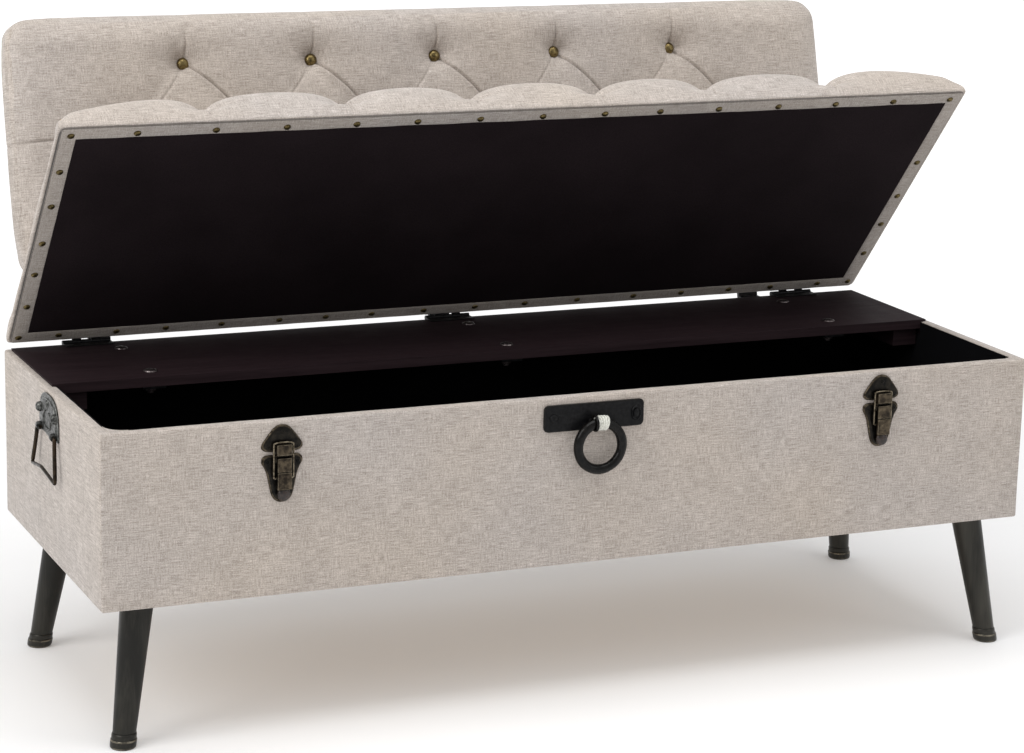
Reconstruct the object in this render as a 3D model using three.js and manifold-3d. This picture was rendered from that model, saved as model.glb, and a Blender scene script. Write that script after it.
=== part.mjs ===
// Upholstered storage bench: a fabric-covered box on four splayed legs, with a tufted hinged lid, a tufted
// backrest on three steel brackets, a ring pull, two toggle latches and a drop handle at each end.
// Millimetres, +Z up. +X runs along the bench, -Y is the front. The origin is on the floor under the middle.
import * as THREE from 'three';
import { mergeVertices } from 'three/addons/utils/BufferGeometryUtils.js';
import Module from 'manifold-3d';

const wasm = await Module();
wasm.setup();

// ---------- driving dimensions ----------
const LENGTH = 1260;          // outside length of the covered box
const DEPTH = 464;            // front face to rear face of the covered box
const UNDERSIDE_Z = 174;      // underside of the box above the floor
const RIM_Z = 391;            // top of the covered rim
const CENTRE_Y = 297.2;       // middle of the whole object's depth, behind the front face
const GAP = 0.3;              // clearance between touching pieces

const CLOTH = 1.2;            // thickness of the box cover
const PANEL = 11;             // carcass panel thickness
const RIM = 2 * CLOTH + 2 * GAP + PANEL;   // width of the covered rim
const RIM_FOLD = 10;          // how far the cover turns down inside the rim
const BOTTOM_Z = 179;         // underside of the bottom board
const BOTTOM_T = 10;
const LINING_T = 1.2;

const DECK_TOP_Z = 394;
const DECK_T = 12.3;
const DECK_FRONT_Y = 245;
const DECK_REAR_Y = 454.5;
const DECK_LIP = 7;           // how far the deck's upper layer laps over the rim
const CLEAT = { length: 100, height: 24, thickness: 36 };

const BRACKET_X = [-488, 0, 486];
const BRACKET = { width: 30, thick: 6, frontY: 258, topS: 200 };
const BOLT_Y = [278, 411];

const LEAN = THREE.MathUtils.degToRad(14.3);      // backrest leans back from the vertical
const BACK = { frontY: 468, bottomZ: 485, height: 337, length: 1188, depth: 72, board: 15 };

const LID_ANGLE = THREE.MathUtils.degToRad(49);  // how far the lid stands open at rest
const HINGE_Y = 459;
const HINGE_Z = 395;
const LID = { length: 1246, width: 426, rear: 4, lift: 2.5, board: 15, cloth: 1.5, border: 20, pad: 40 };
const HINGE_X = [-522, -12, 524];
const HINGE = { length: 64, barrel: 3.6, leaf: 1.4, pin: 1.4, deckReach: 17, lidReach: 12.5 };

const RING = { x: 2, radius: 30, wire: 6, y: -14.8, topZ: 357, plateW: 137, plateH: 34, plateZ: 365.5 };
const EYE = { x: -4.2, radius: 9.3, wire: 1.8 };
const BAND = { radius: 9.5, from: -6, to: 24 };   // degrees from the ring's top

const LATCH_X = [-408, 410];
const LATCH = { plate: 2, leverW: 17.5, pivotZ: 344.5, pivotY: -7, loopZ: 322, hookTopZ: 363.5 };

const HANDLE = {
  y: 229, baseZ: 333, width: 90, height: 53, plate: 2.4, pivotHalf: 41, pivotZ: 339, pivotOut: 5.6,
};
const BAIL = { drop: 51, wire: 2.7, bottomHalf: 55, bow: 6, lean: 3.5 };

const LEG = { topR: 20.5, footR: 14.2, ferruleR: 16, ferruleH: 18, splay: 27, plate: 3 };
const FEET = [
  ['front_left', -602, 14, -1, -1],
  ['front_right', 602, 14, 1, -1],
  ['rear_left', -602, 416, -1, 1],
  ['rear_right', 602, 416, 1, 1],
];

// ---------- materials ----------
const finish = (color, roughness, metalness = 0) => () =>
  new THREE.MeshStandardMaterial({ color, roughness, metalness });
const linen = finish(0xc4b8ac, 0.95);
const wood = finish(0xb08d62, 0.7);
const darkBoard = finish(0x43302f, 0.6);
const blackCloth = finish(0x17171a, 0.95);
const gunmetal = finish(0x4a4944, 0.42, 0.9);
const blackIron = finish(0x1f2022, 0.5, 0.8);
const bronze = finish(0x5a5040, 0.45, 0.85);
const greyIron = finish(0x6b6d6b, 0.5, 0.85);
const steel = finish(0x3a3a3c, 0.5, 0.9);
const tape = finish(0xe0e0d6, 0.95);

// ---------- geometry helpers ----------
const V3 = (x, y, z) => new THREE.Vector3(x, y, z);

function boxAt(x0, x1, y0, y1, z0, z1) {
  const geometry = new THREE.BoxGeometry(x1 - x0, y1 - y0, z1 - z0);
  return geometry.translate((x0 + x1) / 2, (y0 + y1) / 2, (z0 + z1) / 2);
}

// Cylinder or cone from point a (radius ra) to point b (radius rb).
function rod(a, b, ra, rb = ra, sides = 14) {
  const axis = b.clone().sub(a);
  const geometry = new THREE.CylinderGeometry(rb, ra, axis.length(), sides);
  geometry.applyQuaternion(new THREE.Quaternion().setFromUnitVectors(V3(0, 1, 0), axis.clone().normalize()));
  const mid = a.clone().add(b).multiplyScalar(0.5);
  return geometry.translate(mid.x, mid.y, mid.z);
}

// Flat outline in (u, v), extruded by depth along +w, then turned into the part's axes.
function slab(points, depth, toAxes) {
  const shape = new THREE.Shape(points.map(([u, v]) => new THREE.Vector2(u, v)));
  const geometry = new THREE.ExtrudeGeometry(shape, { depth, bevelEnabled: false, steps: 1 });
  return geometry.applyMatrix4(toAxes);
}

// Outline axes: u along X, v along Z, thickness towards -Y from y = 0.
const ON_FRONT = new THREE.Matrix4().makeBasis(V3(1, 0, 0), V3(0, 0, 1), V3(0, -1, 0));

function toSolid(geometry) {
  const bare = geometry.clone();
  bare.deleteAttribute('normal');
  bare.deleteAttribute('uv');
  const merged = mergeVertices(bare, 1e-4);
  return new wasm.Manifold(new wasm.Mesh({
    numProp: 3,
    vertProperties: new Float32Array(merged.attributes.position.array),
    triVerts: new Uint32Array(merged.index.array),
  }));
}

function toGeometry(solid) {
  const mesh = solid.getMesh();
  const geometry = new THREE.BufferGeometry();
  geometry.setAttribute('position', new THREE.BufferAttribute(new Float32Array(mesh.vertProperties), 3));
  geometry.setIndex(new THREE.BufferAttribute(new Uint32Array(mesh.triVerts), 1));
  const faceted = geometry.toNonIndexed();
  faceted.computeVertexNormals();
  return faceted;
}

const join = (...list) => toGeometry(list.map(toSolid).reduce((a, b) => a.add(b)));

function cut(base, ...tools) {
  return toGeometry(tools.map(toSolid).reduce((a, b) => a.subtract(b), toSolid(base)));
}

function piece(parent, name, geometry, material) {
  const mesh = new THREE.Mesh(geometry, material());
  mesh.name = name;
  parent.add(mesh);
  return mesh;
}

// Block with all its edges eased: a rounded outline in (u, v) drawn in by "ease" at both faces.
function cushionBlock(u0, u1, v0, v1, thickness, corner, ease, toAxes) {
  const shape = new THREE.Shape();
  const [a, b, c, d] = [u0 + ease, u1 - ease, v0 + ease, v1 - ease];
  const r = Math.max(corner - ease, 1);
  shape.moveTo(a + r, c);
  shape.lineTo(b - r, c);
  shape.absarc(b - r, c + r, r, -Math.PI / 2, 0, false);
  shape.lineTo(b, d - r);
  shape.absarc(b - r, d - r, r, 0, Math.PI / 2, false);
  shape.lineTo(a + r, d);
  shape.absarc(a + r, d - r, r, Math.PI / 2, Math.PI, false);
  shape.lineTo(a, c + r);
  shape.absarc(a + r, c + r, r, Math.PI, 1.5 * Math.PI, false);
  const geometry = new THREE.ExtrudeGeometry(shape, {
    depth: thickness - 2 * ease, bevelEnabled: true, bevelThickness: ease, bevelSize: ease, bevelSegments: 3,
    curveSegments: 4, steps: 1,
  });
  return geometry.translate(0, 0, ease).applyMatrix4(toAxes);
}

// ---------- assembly frame ----------
const bench = new THREE.Group();
const frame = new THREE.Group();      // x as the part, y = 0 on the box's front face, z = 0 on the floor
frame.position.set(0, -CENTRE_Y, 0);
bench.add(frame);

const HALF = LENGTH / 2;
const OUT = HALF - CLOTH - GAP;       // outer face of the end panels
const FRONT_OUT = CLOTH + GAP;
const REAR_OUT = DEPTH - CLOTH - GAP;
const PANEL_TOP = RIM_Z - CLOTH - GAP;
const PANEL_LOW = UNDERSIDE_Z + 1;

// Slots through the rear panel and cover for the brackets.
const DECK_LOW_Z = DECK_TOP_Z - DECK_T;
const BRACKET_TOP_Z = DECK_LOW_Z - GAP;
const slotTools = (clear) => BRACKET_X.map((x) => boxAt(
  x - BRACKET.width / 2 - clear, x + BRACKET.width / 2 + clear, DEPTH - 30, DEPTH + 10,
  BRACKET_TOP_Z - BRACKET.thick - clear, BRACKET_TOP_Z + clear));

function buildCarcass() {
  piece(frame, 'front_panel', boxAt(-OUT, OUT, FRONT_OUT, FRONT_OUT + PANEL, PANEL_LOW, PANEL_TOP), wood);
  const rear = boxAt(-OUT, OUT, REAR_OUT - PANEL, REAR_OUT, PANEL_LOW, PANEL_TOP);
  piece(frame, 'rear_panel', cut(rear, ...slotTools(0.6)), wood);
  const y0 = FRONT_OUT + PANEL + GAP;
  const y1 = REAR_OUT - PANEL - GAP;
  piece(frame, 'side_panel_left', boxAt(-OUT, -OUT + PANEL, y0, y1, PANEL_LOW, PANEL_TOP), wood);
  piece(frame, 'side_panel_right', boxAt(OUT - PANEL, OUT, y0, y1, PANEL_LOW, PANEL_TOP), wood);
  const inX = OUT - PANEL - GAP;
  piece(frame, 'bottom_board', boxAt(-inX, inX, y0, y1, BOTTOM_Z, BOTTOM_Z + BOTTOM_T), wood);
}

// Stretched cover: outer wall, fold over the rim and a short turn-down inside it.
function buildCover() {
  const outer = boxAt(-HALF, HALF, 0, DEPTH, UNDERSIDE_Z, RIM_Z);
  const well = boxAt(-HALF + RIM, HALF - RIM, RIM, DEPTH - RIM, UNDERSIDE_Z - 1, RIM_Z + 1);
  const under = PANEL_TOP + GAP;
  const channel = cut(
    boxAt(-OUT - GAP, OUT + GAP, FRONT_OUT - GAP, REAR_OUT + GAP, UNDERSIDE_Z - 1, under),
    boxAt(-HALF + RIM - CLOTH, HALF - RIM + CLOTH, RIM - CLOTH, DEPTH - RIM + CLOTH,
      RIM_Z - RIM_FOLD, RIM_Z));
  piece(frame, 'box_cover', cut(outer, well, channel, ...slotTools(0.6)), linen);
}

// Cloth lining: up to the rim in front of the deck, and lower where the deck and its brackets cover it.
function buildLining() {
  const x = HALF - RIM - GAP;
  const y0 = RIM + GAP;
  const y1 = DEPTH - RIM - GAP;
  const z0 = BOTTOM_Z + BOTTOM_T + GAP;
  const low = BRACKET_TOP_Z - BRACKET.thick - 3;
  const high = RIM_Z - 1;
  const tray = boxAt(-x, x, y0, y1, z0, high);
  const inside = boxAt(-x + LINING_T, x - LINING_T, y0 + LINING_T, y1 - LINING_T, z0 + LINING_T, high + 1);
  const underDeck = boxAt(-x - 1, x + 1, DECK_FRONT_Y - GAP, y1 + 1, low, high + 1);
  piece(frame, 'storage_lining', cut(tray, inside, underDeck), blackCloth);
}

// Deck with its upper layer lapping over the rim at both ends and the rear.
function buildDeck() {
  const inX = HALF - RIM - GAP;
  const lap = inX + DECK_LIP;
  const split = RIM_Z + GAP;
  const upper = boxAt(-lap, lap, DECK_FRONT_Y, DECK_REAR_Y, split, DECK_TOP_Z);
  const lower = boxAt(-inX, inX, DECK_FRONT_Y, DEPTH - RIM - GAP, DECK_LOW_Z, split + 0.5);
  const holes = [];
  for (const x of BRACKET_X) {
    for (const y of BOLT_Y) holes.push(rod(V3(x, y, DECK_LOW_Z - 5), V3(x, y, DECK_TOP_Z + 5), 4.3));
  }
  piece(frame, 'deck_board', cut(join(upper, lower), ...holes), darkBoard);
  const low = DECK_LOW_Z - GAP - CLEAT.height;
  for (const [side, s] of [['left', -1], ['right', 1]]) {
    const a = s * (HALF - RIM - LINING_T - 2);
    const b = a - s * CLEAT.thickness;
    const y = DECK_FRONT_Y + 8;
    piece(frame, `deck_cleat_${side}`,
      boxAt(Math.min(a, b), Math.max(a, b), y, y + CLEAT.length, low, DECK_LOW_Z - GAP), darkBoard);
  }
}

// Backrest frame: u along X, v up the slope from the bottom edge, w towards the rear.
const slope = new THREE.Group();
slope.position.set(0, BACK.frontY, BACK.bottomZ);
slope.rotation.x = -LEAN;
frame.add(slope);

function buildBackrest() {
  const half = BACK.length / 2;
  const toSlope = new THREE.Matrix4().makeBasis(V3(-1, 0, 0), V3(0, 0, 1), V3(0, 1, 0));
  const padDepth = BACK.depth - BACK.board - GAP;
  piece(slope, 'backrest_cushion',
    cushionBlock(-half, half, 0, BACK.height, padDepth, 24, 12, toSlope), linen);
  piece(slope, 'backrest_board',
    boxAt(-half + 4, half - 4, padDepth + GAP, BACK.depth, 3, BACK.height - 6), linen);
}

// Flat bar: level under the deck, through the rear panel, then up the back of the backrest.
function buildBrackets() {
  const dir = V3(0, Math.sin(LEAN), Math.cos(LEAN));
  const back = V3(0, Math.cos(LEAN), -Math.sin(LEAN));
  const foot = V3(0, BACK.frontY, BACK.bottomZ).addScaledVector(back, BACK.depth + GAP);
  const at = (s, off) => foot.clone().addScaledVector(dir, s).addScaledVector(back, off);
  const zTop = BRACKET_TOP_Z;
  const zLow = zTop - BRACKET.thick;
  const meet = (off, z) => at((z - at(0, off).z) / dir.z, off);
  const inner = meet(0, zTop);
  const outer = meet(BRACKET.thick, zLow);
  const outline = [
    [BRACKET.frontY, zLow], [outer.y, outer.z],
    [at(BRACKET.topS, BRACKET.thick).y, at(BRACKET.topS, BRACKET.thick).z],
    [at(BRACKET.topS, 0).y, at(BRACKET.topS, 0).z], [inner.y, inner.z], [BRACKET.frontY, zTop],
  ];
  const toSide = new THREE.Matrix4().makeBasis(V3(0, 1, 0), V3(0, 0, 1), V3(1, 0, 0));
  const names = ['left', 'centre', 'right'];
  BRACKET_X.forEach((x, i) => {
    const bar = slab(outline, BRACKET.width, toSide).translate(x - BRACKET.width / 2, 0, 0);
    const holes = BOLT_Y.map((y) => rod(V3(x, y, zLow - 5), V3(x, y, zTop + 5), 4.3));
    piece(frame, `bracket_${names[i]}`, cut(bar, ...holes), steel);
  });
}

// Coach bolts through deck and bracket, each with its nut run up under the bar.
function buildDeckBolts() {
  let n = 1;
  for (const x of BRACKET_X) {
    for (const y of BOLT_Y) {
      const zNut = BRACKET_TOP_Z - BRACKET.thick - GAP;
      const domed = [[0, 0], [9, 0], [8.2, 1.3], [5, 2.4], [0, 2.8]].map(([a, b]) => new THREE.Vector2(a, b));
      const head = new THREE.LatheGeometry(domed, 16).rotateX(Math.PI / 2)
        .translate(x, y, DECK_TOP_Z + GAP);
      const shank = rod(V3(x, y, zNut - 9), V3(x, y, DECK_TOP_Z + GAP + 1), 3.9, 3.9, 12);
      const nut = rod(V3(x, y, zNut - 6), V3(x, y, zNut), 7, 7, 6);
      piece(frame, `deck_bolt_${n}`, join(head, shank, nut), steel);
      n += 1;
    }
  }
}

// ---------- lid ----------
// Lid frame: y runs from the hinge towards the lid's front as negative, z is the height above its underside.
const hinge = new THREE.Group();
hinge.position.set(0, HINGE_Y, HINGE_Z);
hinge.rotation.x = -LID_ANGLE;
frame.add(hinge);

function buildLid() {
  const half = LID.length / 2;
  const rear = -LID.rear;
  const front = rear - LID.width;
  const z0 = LID.lift;
  const c = LID.cloth;
  const g = GAP;
  const boardZ = z0 + c + g;
  piece(hinge, 'lid_board',
    boxAt(-half + c + g, half - c - g, front + c + g, rear - c - g, boardZ, boardZ + LID.board), wood);
  const border = cut(boxAt(-half, half, front, rear, z0, boardZ + LID.board),
    boxAt(-half + c, half - c, front + c, rear - c, z0 + c, boardZ + LID.board + 1),
    boxAt(-half + LID.border, half - LID.border, front + LID.border, rear - LID.border, z0 - 1, z0 + c + 1));
  piece(hinge, 'lid_border', border, linen);
  const b = LID.border + g;
  piece(hinge, 'lid_underside_panel',
    boxAt(-half + b, half - b, front + b, rear - b, z0 + 0.4, z0 + c), darkBoard);
  const flat = new THREE.Matrix4().makeTranslation(0, 0, boardZ + LID.board + g);
  piece(hinge, 'seat_cushion', cushionBlock(-half, half, front, rear, LID.pad, 22, 12, flat), linen);
}

// Butt hinge: three knuckles on the deck's leaf, two on the lid's leaf, and the pin in the deck's leaf.
function buildHinges() {
  const k = HINGE.length / 5;
  const { barrel, leaf, pin, deckReach, lidReach } = HINGE;
  HINGE_X.forEach((x, i) => {
    const x0 = x - HINGE.length / 2;
    const knuckle = (j, r) => rod(
      V3(x0 + j * k + (j ? 0.25 : 0), HINGE_Y, HINGE_Z),
      V3(x0 + (j + 1) * k - (j < 4 ? 0.25 : 0), HINGE_Y, HINGE_Z), r);
    const leafZ = DECK_TOP_Z + GAP - HINGE_Z;
    const clearKnuckles = [1, 3].map((j) => boxAt(
      x0 + j * k - 0.25, x0 + (j + 1) * k + 0.25, DECK_REAR_Y - 0.4, HINGE_Y + 6, HINGE_Z - 6, HINGE_Z + 6));
    const deckLeaf = cut(
      boxAt(x0, x0 + 5 * k, DECK_REAR_Y - deckReach, HINGE_Y - 1, HINGE_Z + leafZ, HINGE_Z + leafZ + leaf),
      ...clearKnuckles);
    const axle = rod(V3(x0 + 1, HINGE_Y, HINGE_Z), V3(x0 + 5 * k - 1, HINGE_Y, HINGE_Z), pin, pin, 12);
    piece(frame, `hinge_base_${i + 1}`,
      join(deckLeaf, knuckle(0, barrel), knuckle(2, barrel), knuckle(4, barrel), axle), blackIron);

    const local = (j) => rod(V3(x0 + j * k + 0.25, 0, 0), V3(x0 + (j + 1) * k - 0.25, 0, 0), barrel);
    const yFace = -LID.rear + GAP;
    const openings = [0, 2, 4].map((j) => boxAt(
      x0 + j * k - (j ? 0.25 : 1), x0 + (j + 1) * k + (j < 4 ? 0.25 : 1), -6, 6, -6, barrel + 0.4));
    const blade = cut(boxAt(x0, x0 + 5 * k, yFace, yFace + leaf, 0, LID.lift + lidReach), ...openings);
    const bore = rod(V3(x0 - 2, 0, 0), V3(x0 + 5 * k + 2, 0, 0), pin + 0.3, pin + 0.3, 12);
    const solid = join(blade, local(1), local(3));
    piece(hinge, `hinge_leaf_${i + 1}`, cut(solid, bore), blackIron);
  });
}

// ---------- ring pull ----------
function roundedRect(w, h, r, cx, cz, steps = 4) {
  const points = [];
  for (const [sx, sz, start] of [[1, -1, -90], [1, 1, 0], [-1, 1, 90], [-1, -1, 180]]) {
    for (let i = 0; i <= steps; i += 1) {
      const a = THREE.MathUtils.degToRad(start + (90 * i) / steps);
      points.push([cx + sx * (w / 2 - r) + r * Math.cos(a), cz + sz * (h / 2 - r) + r * Math.sin(a)]);
    }
  }
  return points;
}

const ringGroup = new THREE.Group();
ringGroup.position.set(RING.x, RING.y, RING.topZ);
frame.add(ringGroup);

function buildRingPull() {
  const outline = roundedRect(RING.plateW, RING.plateH, 6, 0, RING.plateZ);
  const plate = slab(outline, 3, ON_FRONT).translate(0, -GAP, 0);
  const rivets = [-57, 57].map((x) => {
    const profile = [[0, 0], [7, 0], [6.4, 2], [4, 3.6], [0, 4]].map(([a, b]) => new THREE.Vector2(a, b));
    return new THREE.LatheGeometry(profile, 14).rotateX(Math.PI).translate(x, -3, RING.plateZ + 1);
  });
  const stemHole = rod(V3(EYE.x, 1, RING.topZ), V3(EYE.x, -8, RING.topZ), 2.3);
  piece(frame, 'ring_plate', cut(join(plate, ...rivets), stemHole), blackIron);
  const eye = new THREE.TorusGeometry(EYE.radius, EYE.wire, 8, 24).rotateY(Math.PI / 2)
    .translate(EYE.x, RING.y, RING.topZ);
  const stem = rod(V3(EYE.x, RING.y + EYE.radius - 0.5, RING.topZ), V3(EYE.x, -0.6, RING.topZ), 1.9, 1.9, 12);
  piece(frame, 'ring_eye', join(eye, stem), blackIron);

  const ring = new THREE.TorusGeometry(RING.radius, RING.wire, 10, 36).rotateX(Math.PI / 2)
    .translate(0, 0, -RING.radius);
  piece(ringGroup, 'pull_ring', ring, blackIron);
  const arc = THREE.MathUtils.degToRad(BAND.to - BAND.from);
  const start = THREE.MathUtils.degToRad(90 - BAND.to);
  const tube = (r, from, sweep) => {
    const shape = new THREE.Shape();
    shape.absarc(0, 0, r, 0, 2 * Math.PI, false);
    const points = [];
    for (let i = 0; i <= 6; i += 1) {
      const a = from + (sweep * i) / 6;
      points.push(V3(RING.radius * Math.cos(a), 0, RING.radius * Math.sin(a) - RING.radius));
    }
    return new THREE.ExtrudeGeometry(shape, {
      steps: 6, curveSegments: 12, bevelEnabled: false, extrudePath: new THREE.CatmullRomCurve3(points),
    });
  };
  const band = cut(tube(BAND.radius, start, arc), tube(RING.wire + GAP, start - 0.2, arc + 0.4));
  piece(ringGroup, 'ring_band', band, tape);
}

// ---------- toggle latches ----------
// Mirror-symmetric outline from its right-hand half, listed from the bottom up.
function mirrored(half) {
  const left = half.slice().reverse().map(([u, v]) => [-u, v]).filter(([u]) => u !== 0);
  return [...half, ...left];
}

function buildLatches() {
  ['left', 'right'].forEach((side, i) => {
    const cx = LATCH_X[i];
    const place = (g) => g.translate(cx, 0, 0);
    const t = LATCH.plate;
    const front = (outline, depth, y) => slab(outline, depth, ON_FRONT).translate(0, y, 0);

    const keeperOutline = mirrored([[0, 353], [12, 353], [22, 354], [26.3, 358], [25.5, 363], [18, 374],
      [11, 383], [6, 386.8], [0, 388]]);
    const keeperRaise = mirrored([[0, 355], [11, 355], [20, 356.5], [23.5, 360], [16, 371.5], [9, 380.5],
      [0, 384.5]]);
    const hook = boxAt(-9, 9, -11.5, -GAP - 1, 350.5, LATCH.hookTopZ);
    piece(frame, `latch_keeper_${side}`,
      place(join(front(keeperOutline, t, -GAP), front(keeperRaise, t + 0.9, -GAP), hook)), bronze);

    const baseOutline = mirrored([[0, 290.5], [6, 291.5], [11, 295.5], [14, 302], [19, 326], [22, 334],
      [26, 340], [25.5, 346], [21, 349.4], [0, 349.8]]);
    const baseRaise = mirrored([[0, 293], [5, 294], [9.5, 298], [11.8, 304], [16.5, 327], [20, 336],
      [22.8, 341], [19.5, 346.6], [0, 347]]);
    const lug = (s) => boxAt(s > 0 ? 9.2 : -10.8, s > 0 ? 10.8 : -9.2, LATCH.pivotY - 3, -GAP - 1,
      LATCH.pivotZ - 3.5, LATCH.pivotZ + 3.5);
    const [pinStart, pinEnd] = [-12, 12].map((x) => V3(x, LATCH.pivotY, LATCH.pivotZ));
    const pinHole = rod(pinStart, pinEnd, 1.75, 1.75, 12);
    const base = cut(
      join(front(baseOutline, t, -GAP), front(baseRaise, t + 0.9, -GAP), lug(1), lug(-1)), pinHole);
    piece(frame, `latch_base_${side}`, place(base), bronze);

    buildLatchLever(side, cx);
  });
}

// Lever turns about its pin in the base's lugs. The wire loop turns in the lever's lower barrel.
function buildLatchLever(side, cx) {
  const lever = new THREE.Group();
  lever.position.set(cx, LATCH.pivotY, LATCH.pivotZ);
  frame.add(lever);
  const w = LATCH.leverW / 2;
  const side2 = new THREE.Matrix4().makeBasis(V3(0, 1, 0), V3(0, 0, 1), V3(1, 0, 0));
  const blade = slab([[-2.4, 2.4], [-4.4, 2.4], [-5.4, 0.5], [-5.6, -34], [-7, -38], [-6.6, -45], [-4, -49.5],
    [-1, -50], [-1, -47.5], [-3.6, -46], [-4.6, -42], [-3.6, -36], [-3.2, -32], [-3.2, -3]], 2 * w, side2)
    .translate(-w, 0, 0);
  const barrelTop = rod(V3(-w + 0.3, -0.6, 0), V3(w - 0.3, -0.6, 0), 3, 3, 14);
  const pin = rod(V3(-10.8, 0, 0), V3(10.8, 0, 0), 1.45, 1.45, 12);
  const dz = LATCH.loopZ - LATCH.pivotZ;
  const barrelLow = rod(V3(-w + 0.3, -0.9, dz), V3(w - 0.3, -0.9, dz), 2.9, 2.9, 14);
  const loopHole = rod(V3(-12, -0.9, dz), V3(12, -0.9, dz), 1.6, 1.6, 12);
  piece(lever, `latch_lever_${side}`, cut(join(blade, barrelTop, pin, barrelLow), loopHole), bronze);

  const loop = new THREE.Group();
  loop.position.set(0, -0.9, dz);
  lever.add(loop);
  const r = 1.3;
  const top = LATCH.hookTopZ + GAP + r - LATCH.loopZ;
  const x = 12.6;
  const leg = (s) => rod(V3(s * x, 0, -0.6), V3(s * x, 0, top), r, r, 10);
  const stub = (s) => rod(V3(s * 4, 0, 0), V3(s * (x + 0.8), 0, 0), r, r, 10);
  const bar = rod(V3(-x - 0.8, 0, top), V3(x + 0.8, 0, top), r, r, 10);
  piece(loop, `latch_loop_${side}`, join(leg(1), leg(-1), bar, stub(1), stub(-1)), bronze);
}

// ---------- end handles ----------
function buildHandles() {
  for (const [side, s] of [['left', -1], ['right', 1]]) {
    const end = new THREE.Group();       // y along the bench's depth, x = 0 on the box's end face
    end.position.set(s * HALF, HANDLE.y, 0);
    frame.add(end);
    const halfW = HANDLE.width / 2;
    const outline = [];
    for (let i = 0; i <= 16; i += 1) {
      const a = (Math.PI * i) / 16;
      const across = Math.sign(Math.cos(a)) * Math.abs(Math.cos(a)) ** 0.75;
      outline.push([halfW * across, HANDLE.baseZ + 8 + (HANDLE.height - 8) * Math.abs(Math.sin(a)) ** 0.65]);
    }
    outline.push([-halfW + 3, HANDLE.baseZ], [halfW - 3, HANDLE.baseZ]);
    const toEnd = new THREE.Matrix4().makeBasis(V3(0, 1, 0), V3(0, 0, 1), V3(1, 0, 0));
    const plate = slab(outline, HANDLE.plate, toEnd)
      .translate(s > 0 ? GAP : -GAP - HANDLE.plate, 0, 0);
    const lugs = [];
    const holes = [];
    for (const q of [-1, 1]) {
      const y = q * (HANDLE.pivotHalf - 8);
      lugs.push(boxAt(Math.min(s * 1.5, s * 10.5), Math.max(s * 1.5, s * 10.5), y - 3.5, y + 3.5,
        HANDLE.pivotZ - 5, HANDLE.pivotZ + 5));
      const bore = [y - 6, y + 6].map((v) => V3(s * HANDLE.pivotOut, v, HANDLE.pivotZ));
      holes.push(rod(bore[0], bore[1], 3.2, 3.2, 14));
    }
    const domes = [[-24, 362], [24, 362], [0, 374]].map(([y, z]) => {
      const domed = [[0, 0], [5, 0], [4.4, 2.2], [2.6, 3.8], [0, 4.4]];
      const profile = domed.map(([a, b]) => new THREE.Vector2(a, b));
      return new THREE.LatheGeometry(profile, 12).rotateZ(-s * Math.PI / 2)
        .translate(s * (HANDLE.plate + GAP - 0.2), y, z);
    });
    piece(end, `handle_plate_${side}`, cut(join(plate, ...lugs, ...domes), ...holes), greyIron);

    const bail = new THREE.Group();
    bail.position.set(s * HANDLE.pivotOut, 0, HANDLE.pivotZ);
    end.add(bail);
    const p = (y, z, out) => V3(s * out, y, z);
    const top = HANDLE.pivotHalf;
    const low = BAIL.bottomHalf;
    const d = BAIL.drop;
    const seg = (a, b) => rod(a, b, BAIL.wire, BAIL.wire, 10);
    const ball = (c) => new THREE.SphereGeometry(BAIL.wire * 1.02, 10, 6).translate(c.x, c.y, c.z);
    const path = [p(-top + 14, 0, 0), p(-top, 0, 0), p(-low, -d, BAIL.lean),
      p(0, -d + BAIL.bow, BAIL.lean + 3), p(low, -d, BAIL.lean), p(top, 0, 0), p(top - 14, 0, 0)];
    const parts = [];
    for (let i = 0; i + 1 < path.length; i += 1) parts.push(seg(path[i], path[i + 1]));
    for (let i = 1; i + 1 < path.length; i += 1) parts.push(ball(path[i]));
    piece(bail, `handle_bail_${side}`, join(...parts), bronze);
  }
}

// ---------- legs ----------
function buildLegs() {
  for (const [name, x, y, sx, sy] of FEET) {
    const foot = V3(x, y, 0);
    const plateLow = BOTTOM_Z - GAP - LEG.plate;
    const top = V3(x - sx * LEG.splay, y - sy * LEG.splay, plateLow - GAP);
    const point = (z) => foot.clone().lerp(top, z / top.z);
    const trimLow = boxAt(x - 60, x + 60, y - 60, y + 60, -30, LEG.ferruleH + GAP);
    const trimHigh = boxAt(x - 90, x + 90, y - 90, y + 90, top.z, top.z + 30);
    const tube = cut(rod(point(-4), point(top.z + 6), LEG.footR, LEG.topR, 24), trimLow, trimHigh);
    piece(frame, `leg_${name}`, tube, gunmetal);
    const cap = cut(rod(point(-8), point(LEG.ferruleH + 8), LEG.ferruleR - 0.4, LEG.ferruleR, 24),
      boxAt(x - 60, x + 60, y - 60, y + 60, -30, 0),
      boxAt(x - 60, x + 60, y - 60, y + 60, LEG.ferruleH, 60));
    piece(frame, `ferrule_${name}`, cap, gunmetal);
    const px = Math.sign(x) * Math.min(Math.abs(top.x), HALF - RIM - 42);
    const py = Math.min(Math.max(top.y, RIM + 40), DEPTH - RIM - 40);
    piece(frame, `leg_plate_${name}`,
      boxAt(px - 38, px + 38, py - 36, py + 36, plateLow, plateLow + LEG.plate), steel);
  }
}

buildCarcass();
buildCover();
buildLining();
buildDeck();
buildBackrest();
buildBrackets();
buildDeckBolts();
buildLid();
buildHinges();
buildRingPull();
buildLatches();
buildHandles();
buildLegs();

export default bench;
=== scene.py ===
"""Storage bench: upholstered box, tufted lid and backrest, antique hardware and splayed metal legs."""
import math

import bmesh
import bpy
import numpy as np
from mathutils import Matrix, Vector


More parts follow.
